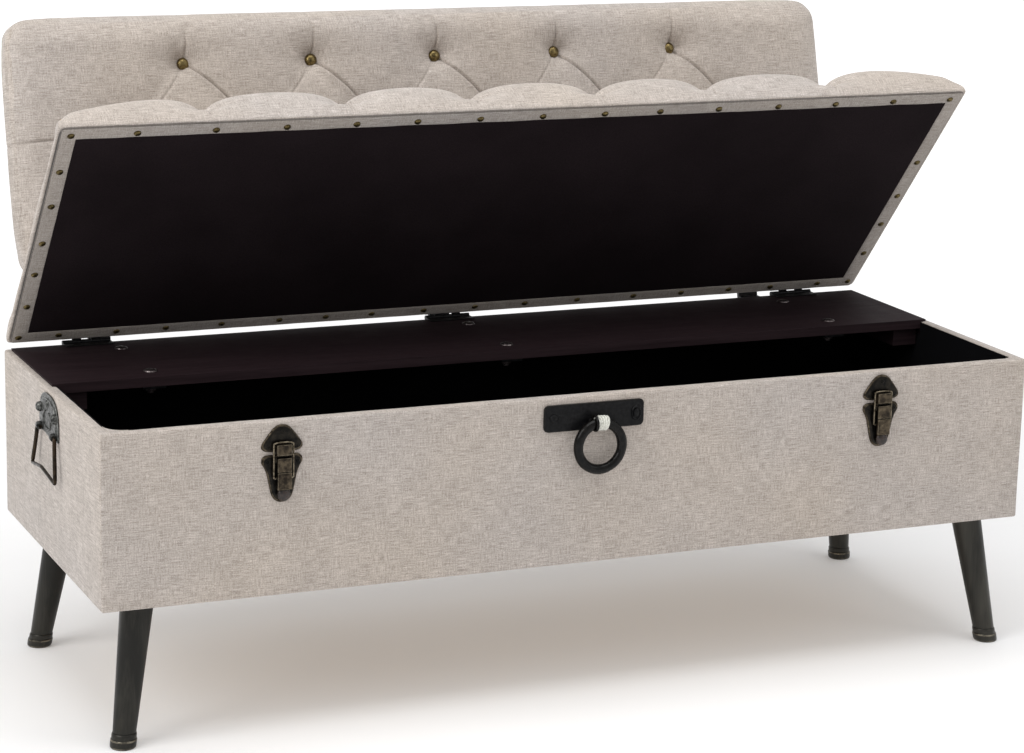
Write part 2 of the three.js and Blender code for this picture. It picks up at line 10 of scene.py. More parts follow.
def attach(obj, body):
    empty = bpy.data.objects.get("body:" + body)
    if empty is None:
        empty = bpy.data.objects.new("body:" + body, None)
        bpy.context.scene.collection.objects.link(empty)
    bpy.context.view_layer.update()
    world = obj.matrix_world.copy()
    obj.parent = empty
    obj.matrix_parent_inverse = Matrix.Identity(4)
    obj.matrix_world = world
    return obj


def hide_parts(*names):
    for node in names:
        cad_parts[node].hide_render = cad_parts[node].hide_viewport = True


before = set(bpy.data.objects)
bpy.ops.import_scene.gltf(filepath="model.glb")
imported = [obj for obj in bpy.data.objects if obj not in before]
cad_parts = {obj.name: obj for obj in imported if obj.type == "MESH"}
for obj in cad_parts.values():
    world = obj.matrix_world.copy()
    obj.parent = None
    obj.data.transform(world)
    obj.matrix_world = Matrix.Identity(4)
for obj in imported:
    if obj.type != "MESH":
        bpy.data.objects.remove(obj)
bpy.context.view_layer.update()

# ---------- driving dimensions, in millimetres ----------
LENGTH, DEPTH = 1260.0, 464.0
UNDERSIDE_Z, RIM_Z = 174.0, 391.0
HALF = LENGTH / 2
CENTRE_Y = 297.2
CLOTH = 1.2
RIM = 14.0
LEAN = 14.3
BACK_FRONT_Y, BACK_BOTTOM_Z = 468.0, 485.0
BACK_LENGTH, BACK_HEIGHT, BACK_PAD, BACK_DEPTH = 1188.0, 337.0, 56.7, 72.0
LID_ANGLE = 49.0
HINGE_Y, HINGE_Z = 459.0, 395.0
LID_LENGTH, LID_WIDTH, LID_REAR, LID_LIFT = 1246.0, 426.0, 4.0, 2.5
LID_STRIP = 20.0
PAD_LOW, PAD_HIGH = 19.6, 59.6


def space(y, z, tilt=0.0):
    """A millimetre frame at (0, y, z) of the box, turned back by tilt degrees about X, as a world matrix."""
    place = Matrix.Translation((0, (y - CENTRE_Y) / 1000, z / 1000))
    return place @ Matrix.Rotation(math.radians(-tilt), 4, "X") @ Matrix.Scale(0.001, 4)


BOX = space(0, 0)
SLOPE = space(BACK_FRONT_Y, BACK_BOTTOM_Z, LEAN)
LID = space(HINGE_Y, HINGE_Z, LID_ANGLE)


# ---------- node materials ----------
class Nodes:
    """Short way to write a node material."""

    def __init__(self, name, **constants):
        self.material = bpy.data.materials.new(name)
        self.material.use_nodes = True
        self.tree = self.material.node_tree
        self.shader = self.tree.nodes["Principled BSDF"]
        for key, value in constants.items():
            self.shader.inputs[key.replace("_", " ")].default_value = value
        coord = self.tree.nodes.new("ShaderNodeTexCoord")
        self.position = coord.outputs["Object"]
        self.normal = coord.outputs["Normal"]

    def add(self, kind, settings=(), **inputs):
        node = self.tree.nodes.new("ShaderNode" + kind)
        for key, value in dict(settings).items():
            setattr(node, key, value)
        for key, value in inputs.items():
            index = int(key[1:]) if key[0] == "i" and key[1:].isdigit() else key.replace("_", " ")
            self.put(value, node.inputs[index])
        return node

    def put(self, value, socket):
        if isinstance(value, bpy.types.NodeSocket):
            self.tree.links.new(value, socket)
        else:
            socket.default_value = value

    def math(self, operation, a, b=0.0, c=0.0):
        return self.add("Math", {"operation": operation}, i0=a, i1=b, i2=c).outputs[0]

    def weighed(self, a, b, share):
        """That share of a and the rest of b."""
        return self.math("ADD", self.math("MULTIPLY", a, share), self.math("MULTIPLY", b, 1 - share))

    def scaled(self, vector, x, y, z):
        return self.add("VectorMath", {"operation": "MULTIPLY"}, i0=vector, i1=(x, y, z)).outputs[0]

    def noise(self, vector, scale, detail=2.0, roughness=0.5):
        node = self.add("TexNoise", {}, Vector=vector, Scale=scale, Detail=detail, Roughness=roughness)
        return node.outputs["Fac"]

    def ramp(self, value, *stops, ease="LINEAR"):
        node = self.add("ValToRGB", {}, Fac=value)
        node.color_ramp.interpolation = ease
        elements = node.color_ramp.elements
        while len(elements) < len(stops):
            elements.new(0.5)
        for element, (at, colour) in zip(elements, stops):
            element.position = at
            element.color = (*colour, 1) if isinstance(colour, tuple) else (colour, colour, colour, 1)
        return node.outputs[0]

    def mix(self, factor, a, b, blend="MIX"):
        node = self.add("Mix", {"data_type": "RGBA", "blend_type": blend})
        for key, value in (("Factor_Float", factor), ("A_Color", a), ("B_Color", b)):
            socket = next(s for s in node.inputs if s.identifier == key)
            self.put((*value, 1) if isinstance(value, tuple) else value, socket)
        return next(s for s in node.outputs if s.identifier == "Result_Color")

    def tinted(self, colour, shade):
        return self.mix(1.0, colour, shade, "MULTIPLY")

    def finish(self, colour=None, roughness=None, height=None, strength=0.3, distance=0.001):
        if colour is not None:
            self.put(colour, self.shader.inputs["Base Color"])
        if roughness is not None:
            self.put(roughness, self.shader.inputs["Roughness"])
        if height is not None:
            bump = self.add("Bump", {}, Height=height, Strength=strength, Distance=distance)
            self.put(bump.outputs[0], self.shader.inputs["Normal"])
        return self.material


def cloth_plane(n, tilt):
    """(u, v) along the weave in metres: the plane of the cloth is the one that the surface faces most."""
    turn = {"vector_type": "POINT"}
    angle = (math.radians(tilt), 0, 0)
    flat = n.add("Mapping", turn, Vector=n.position, Rotation=angle).outputs[0]
    face = n.add("Mapping", {"vector_type": "VECTOR"}, Vector=n.normal, Rotation=angle).outputs[0]
    face = n.add("VectorMath", {"operation": "ABSOLUTE"}, i0=face).outputs[0]
    p = n.add("SeparateXYZ", {}, Vector=flat).outputs
    f = n.add("SeparateXYZ", {}, Vector=face).outputs
    sideways = n.math("GREATER_THAN", f[0], n.math("MAXIMUM", f[1], f[2]))
    upwards = n.math("GREATER_THAN", f[2], n.math("MAXIMUM", f[0], f[1]))
    blend = lambda t, a, b: n.math("ADD", n.math("MULTIPLY", t, n.math("SUBTRACT", b, a)), a)
    u = blend(sideways, p[0], p[1])
    v = blend(upwards, p[2], p[1])
    return n.add("CombineXYZ", {}, X=u, Y=v, Z=n.math("MULTIPLY", sideways, 0.37)).outputs[0]


def linen(name, tilt, tone=1.0):
    """Greige slub linen: short light and dark threads both ways, soft mottling and a fine raised weave."""
    n = Nodes(name, Roughness=0.92, Sheen_Weight=0.22, Sheen_Roughness=0.45, Specular_IOR_Level=0.18)
    plane = cloth_plane(n, tilt)
    warp = n.noise(n.scaled(plane, 900, 70, 1), 1.0, 1.0)
    weft = n.noise(n.scaled(plane, 55, 950, 1), 1.0, 1.0)
    fine_warp = n.noise(n.scaled(plane, 1900, 420, 1), 1.0, 0.0)
    fine_weft = n.noise(n.scaled(plane, 380, 2000, 1), 1.0, 0.0)
    mottle = n.noise(plane, 20.0, 4.0, 0.65)
    cloud = n.noise(plane, 3.5, 1.0)
    where = n.noise(plane, 38.0, 2.0)
    slub = n.mix(n.ramp(where, (0.3, 0.38), (0.7, 0.78)), warp, weft)
    fine = n.math("MULTIPLY", n.math("ADD", fine_warp, fine_weft), 0.5)
    level = n.weighed(slub, fine, 0.58)
    threads = ((0.31, (0.225, 0.193, 0.169)), (0.5, (0.455, 0.404, 0.363)), (0.69, (0.70, 0.642, 0.598)))
    # tone scales every thread colour: a copy of the linen with tone above 1 is painted lighter (painted
    # light), one below 1 darker (painted shade)
    colour = n.ramp(level, *[(at, tuple(tone * c for c in thread)) for at, thread in threads])
    colour = n.tinted(colour, n.ramp(mottle, (0.3, 0.93), (0.7, 1.06)))
    colour = n.tinted(colour, n.ramp(cloud, (0.35, (0.97, 0.98, 1.0)), (0.65, (1.0, 0.985, 0.96))))
    return n.finish(colour, n.ramp(fine, (0.3, 0.98), (0.7, 0.86)), level, 0.35, 0.0007)


def felt(name, colour, pale, scale=900.0):
    """Thin matte cloth with a fibrous surface."""
    n = Nodes(name, Specular_IOR_Level=0.04)
    fibre = n.noise(n.scaled(n.position, 1.0, 1.6, 0.8), scale, 3.0, 0.65)
    patch = n.noise(n.position, 9.0, 2.0)
    tone = n.mix(n.ramp(fibre, (0.3, 0.0), (0.75, 1.0)), colour, pale)
    tone = n.tinted(tone, n.ramp(patch, (0.3, 0.8), (0.7, 1.15)))
    return n.finish(tone, n.ramp(fibre, (0.2, 0.97), (0.8, 0.82)), fibre, 0.25, 0.0005)


def board(name, dark, pale, rough, strength=0.25, shine=0.4):
    """Timber with grain along X."""
    n = Nodes(name, Specular_IOR_Level=shine)
    long = n.scaled(n.position, 6.0, 160.0, 160.0)
    wave = n.noise(long, 1.0, 4.0, 0.6)
    pores = n.noise(n.scaled(n.position, 45.0, 1500.0, 1500.0), 1.0, 1.0)
    grain = n.weighed(wave, pores, 0.7)
    scuff = n.noise(n.position, 26.0, 4.0, 0.7)
    colour = n.ramp(grain, (0.32, dark), (0.68, pale))
    gloss = n.math("ADD", n.math("MULTIPLY", scuff, 0.25), rough)
    return n.finish(colour, gloss, grain, strength, 0.0006)


def metal(name, dark, pale, rough, metallic=0.9, scale=60.0, strength=0.2, spread=(0.42, 0.64)):
    """Aged metal: patina patches, fine pitting and uneven gloss."""
    n = Nodes(name, Metallic=metallic)
    patina = n.noise(n.position, scale, 5.0, 0.65)
    pits = n.noise(n.position, scale * 14, 3.0, 0.7)
    mixed = n.weighed(patina, pits, 0.72)
    colour = n.ramp(mixed, (spread[0], dark), (spread[1], pale))
    gloss = n.ramp(mixed, (0.35, min(rough + 0.12, 1.0)), (0.65, max(rough - 0.1, 0.05)))
    return n.finish(colour, gloss, pits, strength, 0.0005)


def glossy(name, dark, pale, rough, shine):
    """Hand-forged iron under black paint: slight unevenness, worn tone and clear reflections."""
    n = Nodes(name, Specular_IOR_Level=shine)
    dents = n.noise(n.position, 90.0, 2.0)
    wear = n.noise(n.position, 260.0, 4.0, 0.65)
    colour = n.ramp(wear, (0.4, dark), (0.66, pale))
    return n.finish(colour, n.ramp(wear, (0.35, rough + 0.08), (0.65, rough - 0.04)), dents, 0.35, 0.0008)


def brushed(name, dark, pale, rough):
    """Dark tube with faint brush lines along its length and slow changes of tone."""
    n = Nodes(name, Metallic=0.7)
    lines = n.noise(n.scaled(n.position, 420, 420, 9), 1.0, 3.0, 0.6)
    tone = n.noise(n.scaled(n.position, 16, 16, 5), 1.0, 3.0, 0.6)
    specks = n.noise(n.position, 900.0, 2.0)
    mixed = n.weighed(lines, tone, 0.25)
    colour = n.ramp(mixed, (0.38, dark), (0.66, pale))
    return n.finish(colour, n.ramp(mixed, (0.35, rough + 0.1), (0.65, rough - 0.08)), specks, 0.12, 0.0004)


def twine(name):
    n = Nodes(name, Roughness=0.9, Sheen_Weight=0.3, Specular_IOR_Level=0.2)
    strands = n.noise(n.scaled(n.position, 1500, 500, 500), 1.0, 2.0)
    dirt = n.noise(n.position, 220.0, 2.0)
    colour = n.ramp(strands, (0.3, (0.46, 0.46, 0.40)), (0.6, (0.80, 0.80, 0.73)))
    colour = n.tinted(colour, n.ramp(dirt, (0.35, 0.82), (0.65, 1.05)))
    return n.finish(colour, None, strands, 0.5, 0.0008)


LOOKS = [
    (linen, "linen_box", 0.0),
    (linen, "linen_slope", LEAN),
    # The seat's copy is painted 4% lighter than the box's linen: painted light on the lid's top.
    (linen, "linen_lid", LID_ANGLE, 1.04),
    # The strip turned under the lid's edge is the same linen painted about a quarter darker: painted shade.
    (linen, "linen_strip", LID_ANGLE, 0.77),
    # The band round the strip's outer edge is painted near black: a painted shadow line under the foot of the
    # pad, along the seam.
    (linen, "linen_seam", LID_ANGLE, 0.32),
    (felt, "lining", (0.0025, 0.0025, 0.003), (0.009, 0.009, 0.010)),
    (felt, "under_panel", (0.0085, 0.0060, 0.0070), (0.0190, 0.0135, 0.0150), 700.0),
    (board, "deck", (0.0135, 0.0072, 0.0088), (0.030, 0.0175, 0.0205), 0.52, 0.2, 0.12),
    (board, "plywood", (0.30, 0.20, 0.11), (0.56, 0.42, 0.27), 0.6),
    (brushed, "leg", (0.018, 0.0175, 0.0155), (0.050, 0.047, 0.039), 0.38),
    # The ferrule rims in lighter metal: partly worn metal, partly a painted highlight.
    (metal, "leg_worn", (0.05, 0.045, 0.036), (0.30, 0.27, 0.21), 0.34, 0.9, 90.0),
    (glossy, "iron_edge", (0.0015, 0.0015, 0.0015), (0.0085, 0.0075, 0.0065), 0.20, 0.17),
    # The handle plates' bevelled edges in lighter pewter: a painted edge highlight.
    (metal, "pewter_edge", (0.06, 0.062, 0.058), (0.32, 0.325, 0.31), 0.3, 0.9, 200.0),
    (glossy, "iron", (0.0025, 0.0025, 0.003), (0.0090, 0.0090, 0.0095), 0.36, 0.13),
    (glossy, "tongue", (0.007, 0.0045, 0.004), (0.042, 0.026, 0.020), 0.28, 0.45),
    (metal, "bronze", (0.020, 0.0155, 0.0115), (0.115, 0.090, 0.060), 0.36, 0.9, 130.0),
    (metal, "bronze_plate", (0.005, 0.0048, 0.0045), (0.024, 0.020, 0.015), 0.36, 0.85, 130.0),
    (metal, "bronze_worn", (0.06, 0.048, 0.032), (0.26, 0.22, 0.16), 0.3, 0.95, 220.0),
    # The rising rim of the cast plates in lighter bronze: partly worn metal, partly a painted highlight.
    (metal, "bronze_rim", (0.022, 0.017, 0.012), (0.13, 0.105, 0.074), 0.34, 0.95, 220.0),
    (metal, "bail", (0.010, 0.0075, 0.005), (0.058, 0.040, 0.025), 0.34, 0.85, 120.0),
    (metal, "pewter", (0.006, 0.0065, 0.006), (0.15, 0.153, 0.145), 0.36, 0.85, 260.0, 0.3, (0.42, 0.60)),
    (metal, "nail", (0.022, 0.016, 0.006), (0.16, 0.120, 0.050), 0.3, 0.9, 260.0, 0.2, (0.36, 0.62)),
    (metal, "brass", (0.030, 0.021, 0.008), (0.30, 0.225, 0.095), 0.28, 0.92, 260.0, 0.2, (0.36, 0.62)),
    (metal, "bolt", (0.06, 0.045, 0.045), (0.30, 0.26, 0.26), 0.32, 0.9, 240.0),
    (metal, "steel", (0.018, 0.018, 0.020), (0.042, 0.042, 0.045), 0.42, 0.9, 160.0),
    (twine, "twine"),
]
M = {name: make(name, *values) for make, name, *values in LOOKS}


# ---------- mesh helpers ----------
def merge(parts):
    """One vertex and face list from several, with a material index for each face."""
    verts, faces, marks = [], [], []
    for part in parts:
        v, f = part[0], part[1]
        mark = part[2] if len(part) > 2 else [0] * len(f)
        faces += [tuple(i + len(verts) for i in face) for face in f]
        verts += [tuple(p) for p in v]
        marks += list(mark)
    return verts, faces, marks


def linked(name, data):
    obj = bpy.data.objects.new(name, data)
    bpy.context.scene.collection.objects.link(obj)
    return obj


def smoothed(mesh):
    mesh.polygons.foreach_set("use_smooth", [True] * len(mesh.polygons))


def assembled(name, parts, where, materials, body, replaces=(), sharp=40.0):
    """Closed shells given in a millimetre frame as one piece: placed, painted, smoothed and carried by its
    body. Each face keeps the material index that it was made with."""
    verts, faces, marks = merge(parts)
    mesh = bpy.data.meshes.new(name)
    mesh.from_pydata([where @ Vector(v) for v in verts], [], faces)
    mesh.polygons.foreach_set("material_index", marks)
    for key in materials.split():
        mesh.materials.append(M[key])
    smoothed(mesh)
    if sharp:
        mesh.set_sharp_from_angle(angle=math.radians(sharp))
    obj = linked(name, mesh)
    if replaces:
        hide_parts(*replaces)
    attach(obj, body)
    return obj


def remade(node, suffix, parts, where, materials, body, sharp):
    """The shells that stand in for one CAD node, named after it."""
    assembled(f"{node}_{suffix}", parts, where, materials, body, (node,), sharp)


def skin(rings, sides, closed=False):
    """Quads between rings of points that follow one another, and an end disc at each end unless closed."""
    faces = []
    for k in range(rings if closed else rings - 1):
        n = (k + 1) % rings
        for i in range(sides):
            j = (i + 1) % sides
            faces.append((k * sides + i, k * sides + j, n * sides + j, n * sides + i))
    if not closed:
        faces += [tuple(range(sides))[::-1], tuple((rings - 1) * sides + i for i in range(sides))]
    return faces


def circle(radius, sides):
    angles = [2 * math.pi * i / sides for i in range(sides)]
    return [(radius * math.cos(a), radius * math.sin(a)) for a in angles]


def lathe(profile, sides=32):
    """Profile of (radius, height) turned about Z."""
    verts = [(x, y, h) for r, h in profile for x, y in circle(r, sides)]
    return painted((verts, skin(len(profile), sides)), 0)


def moved(part, matrix):
    return ([tuple(matrix @ Vector(v)) for v in part[0]], *part[1:])


def flipped(part):
    """The part with its faces turned inside out, as a mirrored one needs."""
    return part[0], [tuple(reversed(f)) for f in part[1]], part[2]


def painted(part, mark):
    return part[0], part[1], [mark] * len(part[1])


def shift(x=0.0, y=0.0, z=0.0):
    return Matrix.Translation((x, y, z))


def turn(degrees, axis):
    return Matrix.Rotation(math.radians(degrees), 4, axis)


def tube(path, radius, sides=16, closed=False):
    """Round bar along a path of points. radius is one number or one for each point."""
    points = [Vector(p) for p in path]
    count = len(points)
    radii = radius if isinstance(radius, (list, tuple)) else [radius] * count
    verts, previous = [], None
    for i, p in enumerate(points):
        a = points[(i - 1) % count] if closed or i else p
        b = points[(i + 1) % count] if closed or i < count - 1 else p
        along = (b - a).normalized()
        if previous is None:
            seed = Vector((1, 0, 0)) if abs(along.x) < 0.9 else Vector((0, 1, 0))
            previous = along.cross(seed).normalized()
        side = (previous - along * previous.dot(along)).normalized()
        other = along.cross(side)
        previous = side
        for k in range(sides):
            angle = 2 * math.pi * k / sides
            verts.append(tuple(p + radii[i] * (side * math.cos(angle) + other * math.sin(angle))))
    return painted((verts, skin(count, sides, closed)), 0)


def smooth_path(points, per=6, closed=False):
    """Catmull-Rom curve through the points."""
    p = [Vector(q) for q in points]
    out = []
    last = len(p) if closed else len(p) - 1
    for i in range(last):
        a = p[i - 1] if closed or i else p[i] * 2 - p[i + 1]
        b, c = p[i], p[(i + 1) % len(p)]
        d = p[(i + 2) % len(p)] if closed or i + 2 < len(p) else c * 2 - b
        for k in range(per):
            t = k / per
            out.append(0.5 * ((2 * b) + (c - a) * t + (2 * a - 5 * b + 4 * c - d) * t * t
                              + (3 * b - a - 3 * c + d) * t ** 3))
    if not closed:
        out.append(p[-1])
    return out


def plate(outline, low, high, bevel=0.6, segments=2):
    """Flat outline in (x, y), from z low to high, with its upper edge bevelled into material 1."""
    bm = bmesh.new()
    base = bm.faces.new([bm.verts.new((x, y, low)) for x, y in outline])
    top = bmesh.ops.extrude_face_region(bm, geom=[base])["geom"]
    up = [g for g in top if isinstance(g, bmesh.types.BMVert)]
    for v in up:
        v.co.z = high
    cap = [g for g in top if isinstance(g, bmesh.types.BMFace)][0]
    if bevel:
        bmesh.ops.bevel(bm, geom=list(cap.edges), offset=bevel, segments=segments, profile=0.6,
                        affect="EDGES", material=1, clamp_overlap=True)
    bmesh.ops.recalc_face_normals(bm, faces=bm.faces)
    bm.verts.index_update()
    result = ([tuple(v.co) for v in bm.verts], [tuple(v.index for v in f.verts) for f in bm.faces],
              [f.material_index for f in bm.faces])
    bm.free()
    return result


def rectangle(half, low, high):
    return [(-half, low), (half, low), (half, high), (-half, high)]


def mirrored(half):
    return list(half) + [(-u, v) for u, v in reversed(half) if u]


ON_FRONT = Matrix(((1, 0, 0, 0), (0, 0, -1, 0), (0, 1, 0, 0), (0, 0, 0, 1)))   # (u, v, w) -> (x, -w, z = v)


# ---------- tufted cushions ----------
def lattice(size, cells):
    """Closed grid over the surface of a block of that size centred on the origin, as points and quads."""
    index, points, faces = {}, [], []

    def vertex(key):
        if key not in index:
            index[key] = len(points)
            points.append([(k / c - 0.5) * s for k, c, s in zip(key, cells, size)])
        return index[key]

    for axis in range(3):
        a, b = [i for i in range(3) if i != axis]
        for end in (0, cells[axis]):
            flip = (end == 0) != (axis == 1)
            for i in range(cells[a]):
                for j in range(cells[b]):
                    corner = []
                    for di, dj in ((0, 0), (1, 0), (1, 1), (0, 1)):
                        key = [0, 0, 0]
                        key[axis], key[a], key[b] = end, i + di, j + dj
                        corner.append(vertex(tuple(key)))
                    faces.append(tuple(reversed(corner)) if flip else tuple(corner))
    return np.array(points), faces


def eased(points, half, radius, depth_radius):
    """The block's points drawn onto a form with rounded corners, and the outward direction at each.
    The crowned side is +Z and the other side stays flat."""
    inner = np.array([half[0] - radius, half[1] - radius, half[2] - depth_radius])
    clamped = np.clip(points, -inner, inner)
    clamped[:, 2] = np.minimum(points[:, 2], inner[2])
    offset = (points - clamped) / np.array([radius, radius, depth_radius])
    length = np.linalg.norm(offset, axis=1)
    largest = np.abs(offset).max(axis=1)
    scale = np.divide(largest, length, out=np.ones_like(length), where=length > 1e-9)
    offset *= scale[:, None]
    placed = clamped + offset * np.array([radius, radius, depth_radius])
    flat = np.abs(points[:, 2] + half[2]) < 1e-6
    normal = np.divide(offset, np.maximum(np.linalg.norm(offset, axis=1), 1e-9)[:, None])
    normal[flat & (largest < 0.999)] = (0, 0, -1)
    return placed, normal


def along(points, a, b, bow=0.0):
    """Signed distance from the line a-b, the distance past its ends, and the share of the way along it."""
    a, b = np.array(a, float), np.array(b, float)
    d = b - a
    length = np.hypot(*d)
    rel = points - a
    t = (rel @ d) / length ** 2
    side = (rel[:, 0] * d[1] - rel[:, 1] * d[0]) / length
    clipped = np.clip(t, 0, 1)
    return side - bow * np.sin(math.pi * clipped), np.abs(t - clipped) * length, clipped


BUTTON_FOOT = 7.5             # a dimple is flat this far from the middle of its button
GROOVE, GROOVE_EDGE = 1.6, 1.4      # half width of a sewn groove, and where its lip starts
LIP_REACH, FOLD_END = 9.0, 3.0


def sunk(points, buttons, seams, depth, reach):
    """How far the cover is drawn in: a dimple at each button and a valley along each seam.
    A seam is (start, end, depth at start, depth in the middle, depth at end, reach, bow)."""
    total = np.zeros(len(points))
    for b in buttons:
        d = np.hypot(points[:, 0] - b[0], points[:, 1] - b[1])
        total += (depth * np.exp(-(np.maximum(d - BUTTON_FOOT, 0) / reach) ** 1.05)) ** 4
    for start, end, d0, dm, d1, width, bow in seams:
        side, past, t = along(points, start, end, bow)
        level = d0 * (1 - t) ** 2 + 2 * dm * t * (1 - t) + d1 * t ** 2
        distance = np.hypot(side, past * 1.2)
        total += (level * np.exp(-(distance / width) ** 0.9)) ** 4
    return total ** 0.25


def creased(points, folds):
    """Height of sewn folds: a narrow groove with a lip on one side that dies away.
    A fold is (start, end, groove depth, lip height, bow, fade at start, fade at end)."""
    total = np.zeros(len(points))
    for start, end, groove, lip, bow, fade0, fade1 in folds:
        side, past, t = along(points, start, end, bow)
        length = math.dist(start, end)
        gone = np.clip(t * length / max(fade0, 1), 0, 1) * np.clip((1 - t) * length / max(fade1, 1), 0, 1)
        gone *= np.exp(-(past / FOLD_END) ** 2)
        total -= groove * np.exp(-(side / GROOVE) ** 2) * gone
        away = np.exp(-np.maximum(side - GROOVE_EDGE, 0) / LIP_REACH)
        total += lip * away * np.clip(side / GROOVE_EDGE, 0, 1) * gone
    return total


def read(mesh, key):
    """A property of the vertices with three numbers, one row for each."""
    values = np.empty(len(mesh.vertices) * 3)
    mesh.vertices.foreach_get(key, values)
    return values.reshape(-1, 3)


def inflate(obj, pinned, cap, pressure=4.0, frames=20):
    """Lets the cover swell under pressure with some points held. No point moves further than cap metres."""
    group = obj.vertex_groups.new(name="held")
    pinned = np.round(pinned, 2)
    for weight in np.unique(pinned[pinned > 0]):
        group.add([int(i) for i in np.flatnonzero(pinned == weight)], float(weight), "REPLACE")
    cloth = obj.modifiers.new("swell", "CLOTH")
    s = cloth.settings
    s.quality = 4
    s.mass = 0.25
    s.tension_stiffness = s.compression_stiffness = 18
    s.shear_stiffness = 8
    s.bending_stiffness = 0.6
    s.use_pressure = True
    s.uniform_pressure_force = pressure
    s.vertex_group_mass = "held"
    s.effector_weights.gravity = 0
    cloth.collision_settings.use_collision = False
    cloth.point_cache.frame_start = 1
    cloth.point_cache.frame_end = frames
    scene = bpy.context.scene
    for number in range(1, frames + 1):
        scene.frame_set(number)
    before = read(obj.data, "co")
    swollen = obj.evaluated_get(bpy.context.evaluated_depsgraph_get()).data
    move = read(swollen, "co") - before
    obj.modifiers.remove(cloth)
    scene.frame_set(1)
    size = np.linalg.norm(move, axis=1)
    size = np.where(np.isfinite(size), size, 0)
    move = np.nan_to_num(move) * np.where(size > cap, cap / np.maximum(size, 1e-12), 1)[:, None]
    obj.data.vertices.foreach_set("co", (before + move).ravel())
    obj.vertex_groups.clear()
    obj.data.update()


def refine(obj):
    """One level of subdivision, applied."""
    sub = obj.modifiers.new("fine", "SUBSURF")
    sub.levels = sub.render_levels = 1
    mesh = bpy.data.meshes.new_from_object(obj.evaluated_get(bpy.context.evaluated_depsgraph_get()))
    obj.modifiers.remove(sub)
    old = obj.data
    obj.data = mesh
    mesh.name = obj.name
    bpy.data.meshes.remove(old)
    smoothed(mesh)


def refine_near(obj, where, folds, reach):
    """Splits the faces along the folds once more, so that the sewn lines come out crisp."""
    p = local_points(obj, where)
    near = np.zeros(len(p), bool)
    for start, end, _, _, bow, _, _ in folds:
        side, past, _ = along(p[:, :2], start, end, bow)
        near |= (np.abs(side) < reach) & (past < reach) & (p[:, 2] > 10)
    mesh = bmesh.new()
    mesh.from_mesh(obj.data)
    edges = [e for e in mesh.edges if near[e.verts[0].index] and near[e.verts[1].index]]
    bmesh.ops.subdivide_edges(mesh, edges=edges, cuts=1, use_grid_fill=True, smooth=0.0)
    mesh.to_mesh(obj.data)
    mesh.free()
    smoothed(obj.data)


def local_points(obj, where):
    m = np.array(where.inverted())
    return read(obj.data, "co") @ m[:3, :3].T + m[:3, 3]


def local_normals(obj, where):
    turned = read(obj.data, "normal") @ np.array(where.to_3x3())
    return turned / np.maximum(np.linalg.norm(turned, axis=1), 1e-9)[:, None]


def set_local_points(obj, where, points):
    m = np.array(where)
    obj.data.vertices.foreach_set("co", (points @ m[:3, :3].T + m[:3, 3]).ravel())
    obj.data.update()


BUTTON_RADIUS, BUTTON_HEIGHT = 8.6, 6.0
BUTTON_LIFT = 1.5             # from the bottom of its dimple


def tufted(name, where, size, cell, radii, buttons, seams, sink, folds, cap, body, material,
           drop=None, skirt=None):
    """A tufted pad and its buttons. Its frame has X along the bench, Y across the pad and +Z out of its
    crowned face, and its origin in the middle of its flat back. radii are those of the corners and of the
    crowned edge, and the swell of the ends at mid-width. sink is the depth and the reach of the dimples, drop
    gives the loss of height towards the edges, and skirt is how deep and how thick the cover hangs round the
    board under the pad."""
    cells = [max(4, round(s / c)) for s, c in zip(size, cell)]
    points, faces = lattice(size, cells)
    half = [s / 2 for s in size]
    shape, normal = eased(points, half, *radii[:2])
    flat = points[:, :2]
    rise = (shape[:, 2] + half[2]) / size[2]
    if skirt:
        tight, _ = eased(points, half, 5, radii[1])
        blend = np.clip((shape[:, 2] + half[2] - skirt[0]) / 18, 0, 1)[:, None]
        shape = tight * (1 - blend) + shape * blend
    swell = radii[2] / half[0] * np.clip(rise / 0.7, 0, 1)
    shape[:, 0] *= 1 + swell * (1 - 0.7 * (points[:, 1] / half[1]) ** 2)
    low = (skirt[0] + 3) / size[2] if skirt else 0.0
    weight = np.clip((rise - low) / (0.55 - low), 0, 1) ** 0.8
    depth = sunk(flat, buttons, seams, *sink)
    shape = shape - normal * (depth * weight)[:, None]
    if drop:
        shape[:, 2] -= drop(flat) * np.clip(rise, 0, 1)
    shape[:, 2] += half[2]
    if skirt:
        hang_skirt(shape, points, half, cells, *skirt)
    obj = assembled(f"{name}_pad", [(shape, faces)], where, material, body,
                    (f"{name}_cushion",), sharp=0)
    held = np.clip((depth - 0.5 * depth.max()) / (0.35 * depth.max()), 0, 1)
    held = np.maximum(held, rise < 0.12)
    inflate(obj, held, cap)
    refine(obj)
    refine_near(obj, where, folds, 6.0)
    p = local_points(obj, where)       # the folds fade out towards the flat back
    front = np.clip((p[:, 2] - 0.12 * size[2]) / (0.15 * size[2]), 0, 1)
    p += local_normals(obj, where) * (creased(p[:, :2], folds) * front)[:, None]
    set_local_points(obj, where, p)
    level = size[2] - sink[0] + BUTTON_LIFT
    domes(f"{name}_buttons", [(x, y, level) for x, y in buttons], where, BUTTON_RADIUS, BUTTON_HEIGHT,
          "brass", body)


def hang_skirt(shape, points, half, cells, deep, thick):
    """Turns the rim of the pad's flat back into a hem round the board: the board's place is a recess."""
    step = [2 * half[i] / cells[i] for i in (0, 1)]
    ring = np.minimum(*[np.round((half[i] - np.abs(points[:, i])) / step[i]) for i in (0, 1)])
    flat = points[:, 2] < -half[2] + 1e-6
    for number, inset, height in ((1, thick, 0.0), (2, thick, deep)):
        for i in (0, 1):
            near = flat & (ring >= number) & (half[i] - np.abs(points[:, i]) < (number + 0.5) * step[i])
            shape[near, i] = np.sign(points[near, i]) * (half[i] - inset)
        shape[flat & (ring == number), 2] = height
    shape[flat & (ring > 2), 2] = deep


